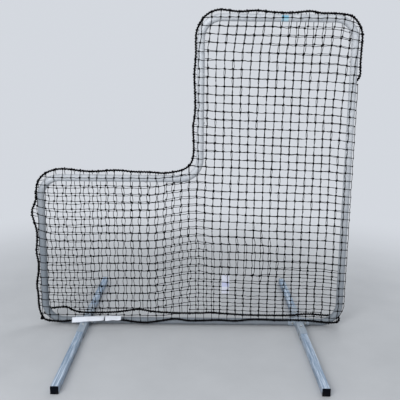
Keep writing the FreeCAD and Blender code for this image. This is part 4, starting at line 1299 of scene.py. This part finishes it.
def sewn_label(name, node, length, tilt, up, climb, droop, wave, twist):
    low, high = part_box(node)
    bm = bmesh.new()
    bmesh.ops.create_grid(bm, x_segments=24, y_segments=6, size=0.5)
    for vertex in bm.verts:
        u, v = vertex.co.x, vertex.co.y
        off_rope = v + up + climb * u
        raised = wave * (1 + math.sin(LABEL_WAVES * u + WAVE_START)) * max(0.0, -v)
        lift = raised - droop * (2 * off_rope) ** 2
        flat = Vector((u * length, off_rope * LABEL_HEIGHT, TIE_TURN_R + lift))
        vertex.co = Matrix.Rotation(-twist * u, 3, "X") @ flat
    mesh = finished_mesh(bm, name)
    middle = Vector(((low.x + high.x) / 2, LABEL_ROPE_Y, LABEL_ROPE_Z))
    mesh.transform(Matrix.Translation(middle) @ Matrix.Rotation(math.radians(tilt), 4, "X"))
    label = add_piece(name, mesh, LABEL_FINISH)
    thick = label.modifiers.new("thickness", "SOLIDIFY")
    thick.thickness = LABEL_THICKNESS
    thick.offset = 0.0
    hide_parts(node)


sewn_label("long_label_cloth", "long_label", 0.191, tilt=45, up=0.04, climb=0.36,
           droop=0.0012, wave=0.005, twist=0.3)
sewn_label("short_label_cloth", "short_label", 0.096, tilt=50, up=0.28, climb=0.10,
           droop=0.003, wave=0.010, twist=0.2)

# %% [markdown]
# Between the labels the rope carries a tie of thick cord, wound four times and knotted on
# top.

# %% Tie between the labels
CORD_R, CORD_TURN_R = 0.0014, ROPE_R + 0.0012
CORD_STEP = 0.002
CORD_KNOT = Vector((0, -0.004, 0.005))

tie_low, tie_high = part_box("rope_tie")
tie_middle = (tie_low + tie_high) / 2
bm = bmesh.new()
scatter(bm, ring_mesh(CORD_TURN_R, CORD_R, around=14, section=6), [
    Matrix.Translation(tie_middle + Vector((CORD_STEP * step, 0, 0)))
    @ Matrix.Rotation(math.pi / 2, 4, "Y") for step in FOUR_TURNS])
add_lump(bm, HITCH_R, 2, Matrix.Translation(tie_middle + CORD_KNOT), (1.0, 1.0, 1.0))
rope_tie = add_piece("rope_tie_turns", finished_mesh(bm, "rope_tie_turns"), TWINE_FINISH)
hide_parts("rope_tie")

# %% [markdown]
# The small square on the top rail is a printed sticker. Its own print is left out: it's
# plain sky blue with a paler lower band. The hang tag is a white card on a clear plastic
# loop, with plain pale bands.

# %% Sticker, tag and loop
def banded_card(name, plain, band, middle, half, roughness):
    material, tree, shader = start_material(name, Roughness=roughness)
    place = object_place(tree)
    off = calculate(tree, "SUBTRACT", coordinate(tree, place, "Z"), middle)
    mask = calculate(tree, "LESS_THAN", calculate(tree, "ABSOLUTE", off), half)
    coat(tree, shader, mix_colors(tree, mask, plain, band), grained(tree, place, 600.0),
         strength=0.1, distance=0.0001)
    return material


STICKER_FINISH = banded_card("blue_sticker", (0.23, 0.52, 0.70), (0.47, 0.72, 0.85),
                             middle=1.800, half=0.007, roughness=0.35)
TAG_FINISH = banded_card("tag_card", (0.67, 0.69, 0.79), (0.54, 0.57, 0.78),
                         middle=0.268, half=0.015, roughness=0.5)
LOOP_FINISH, tree, shader = start_material("tag_plastic", Transmission_Weight=0.6, IOR=1.49)
feed(tree, shader.inputs["Roughness"],
     remap(tree, grained(tree, object_place(tree), 300.0), low=0.2, high=0.4))
dress(["rail_sticker"], STICKER_FINISH, "blue_sticker")
dress(["hang_tag"], TAG_FINISH, "tag_card")
dress(["tag_loop"], LOOP_FINISH, "tag_plastic")
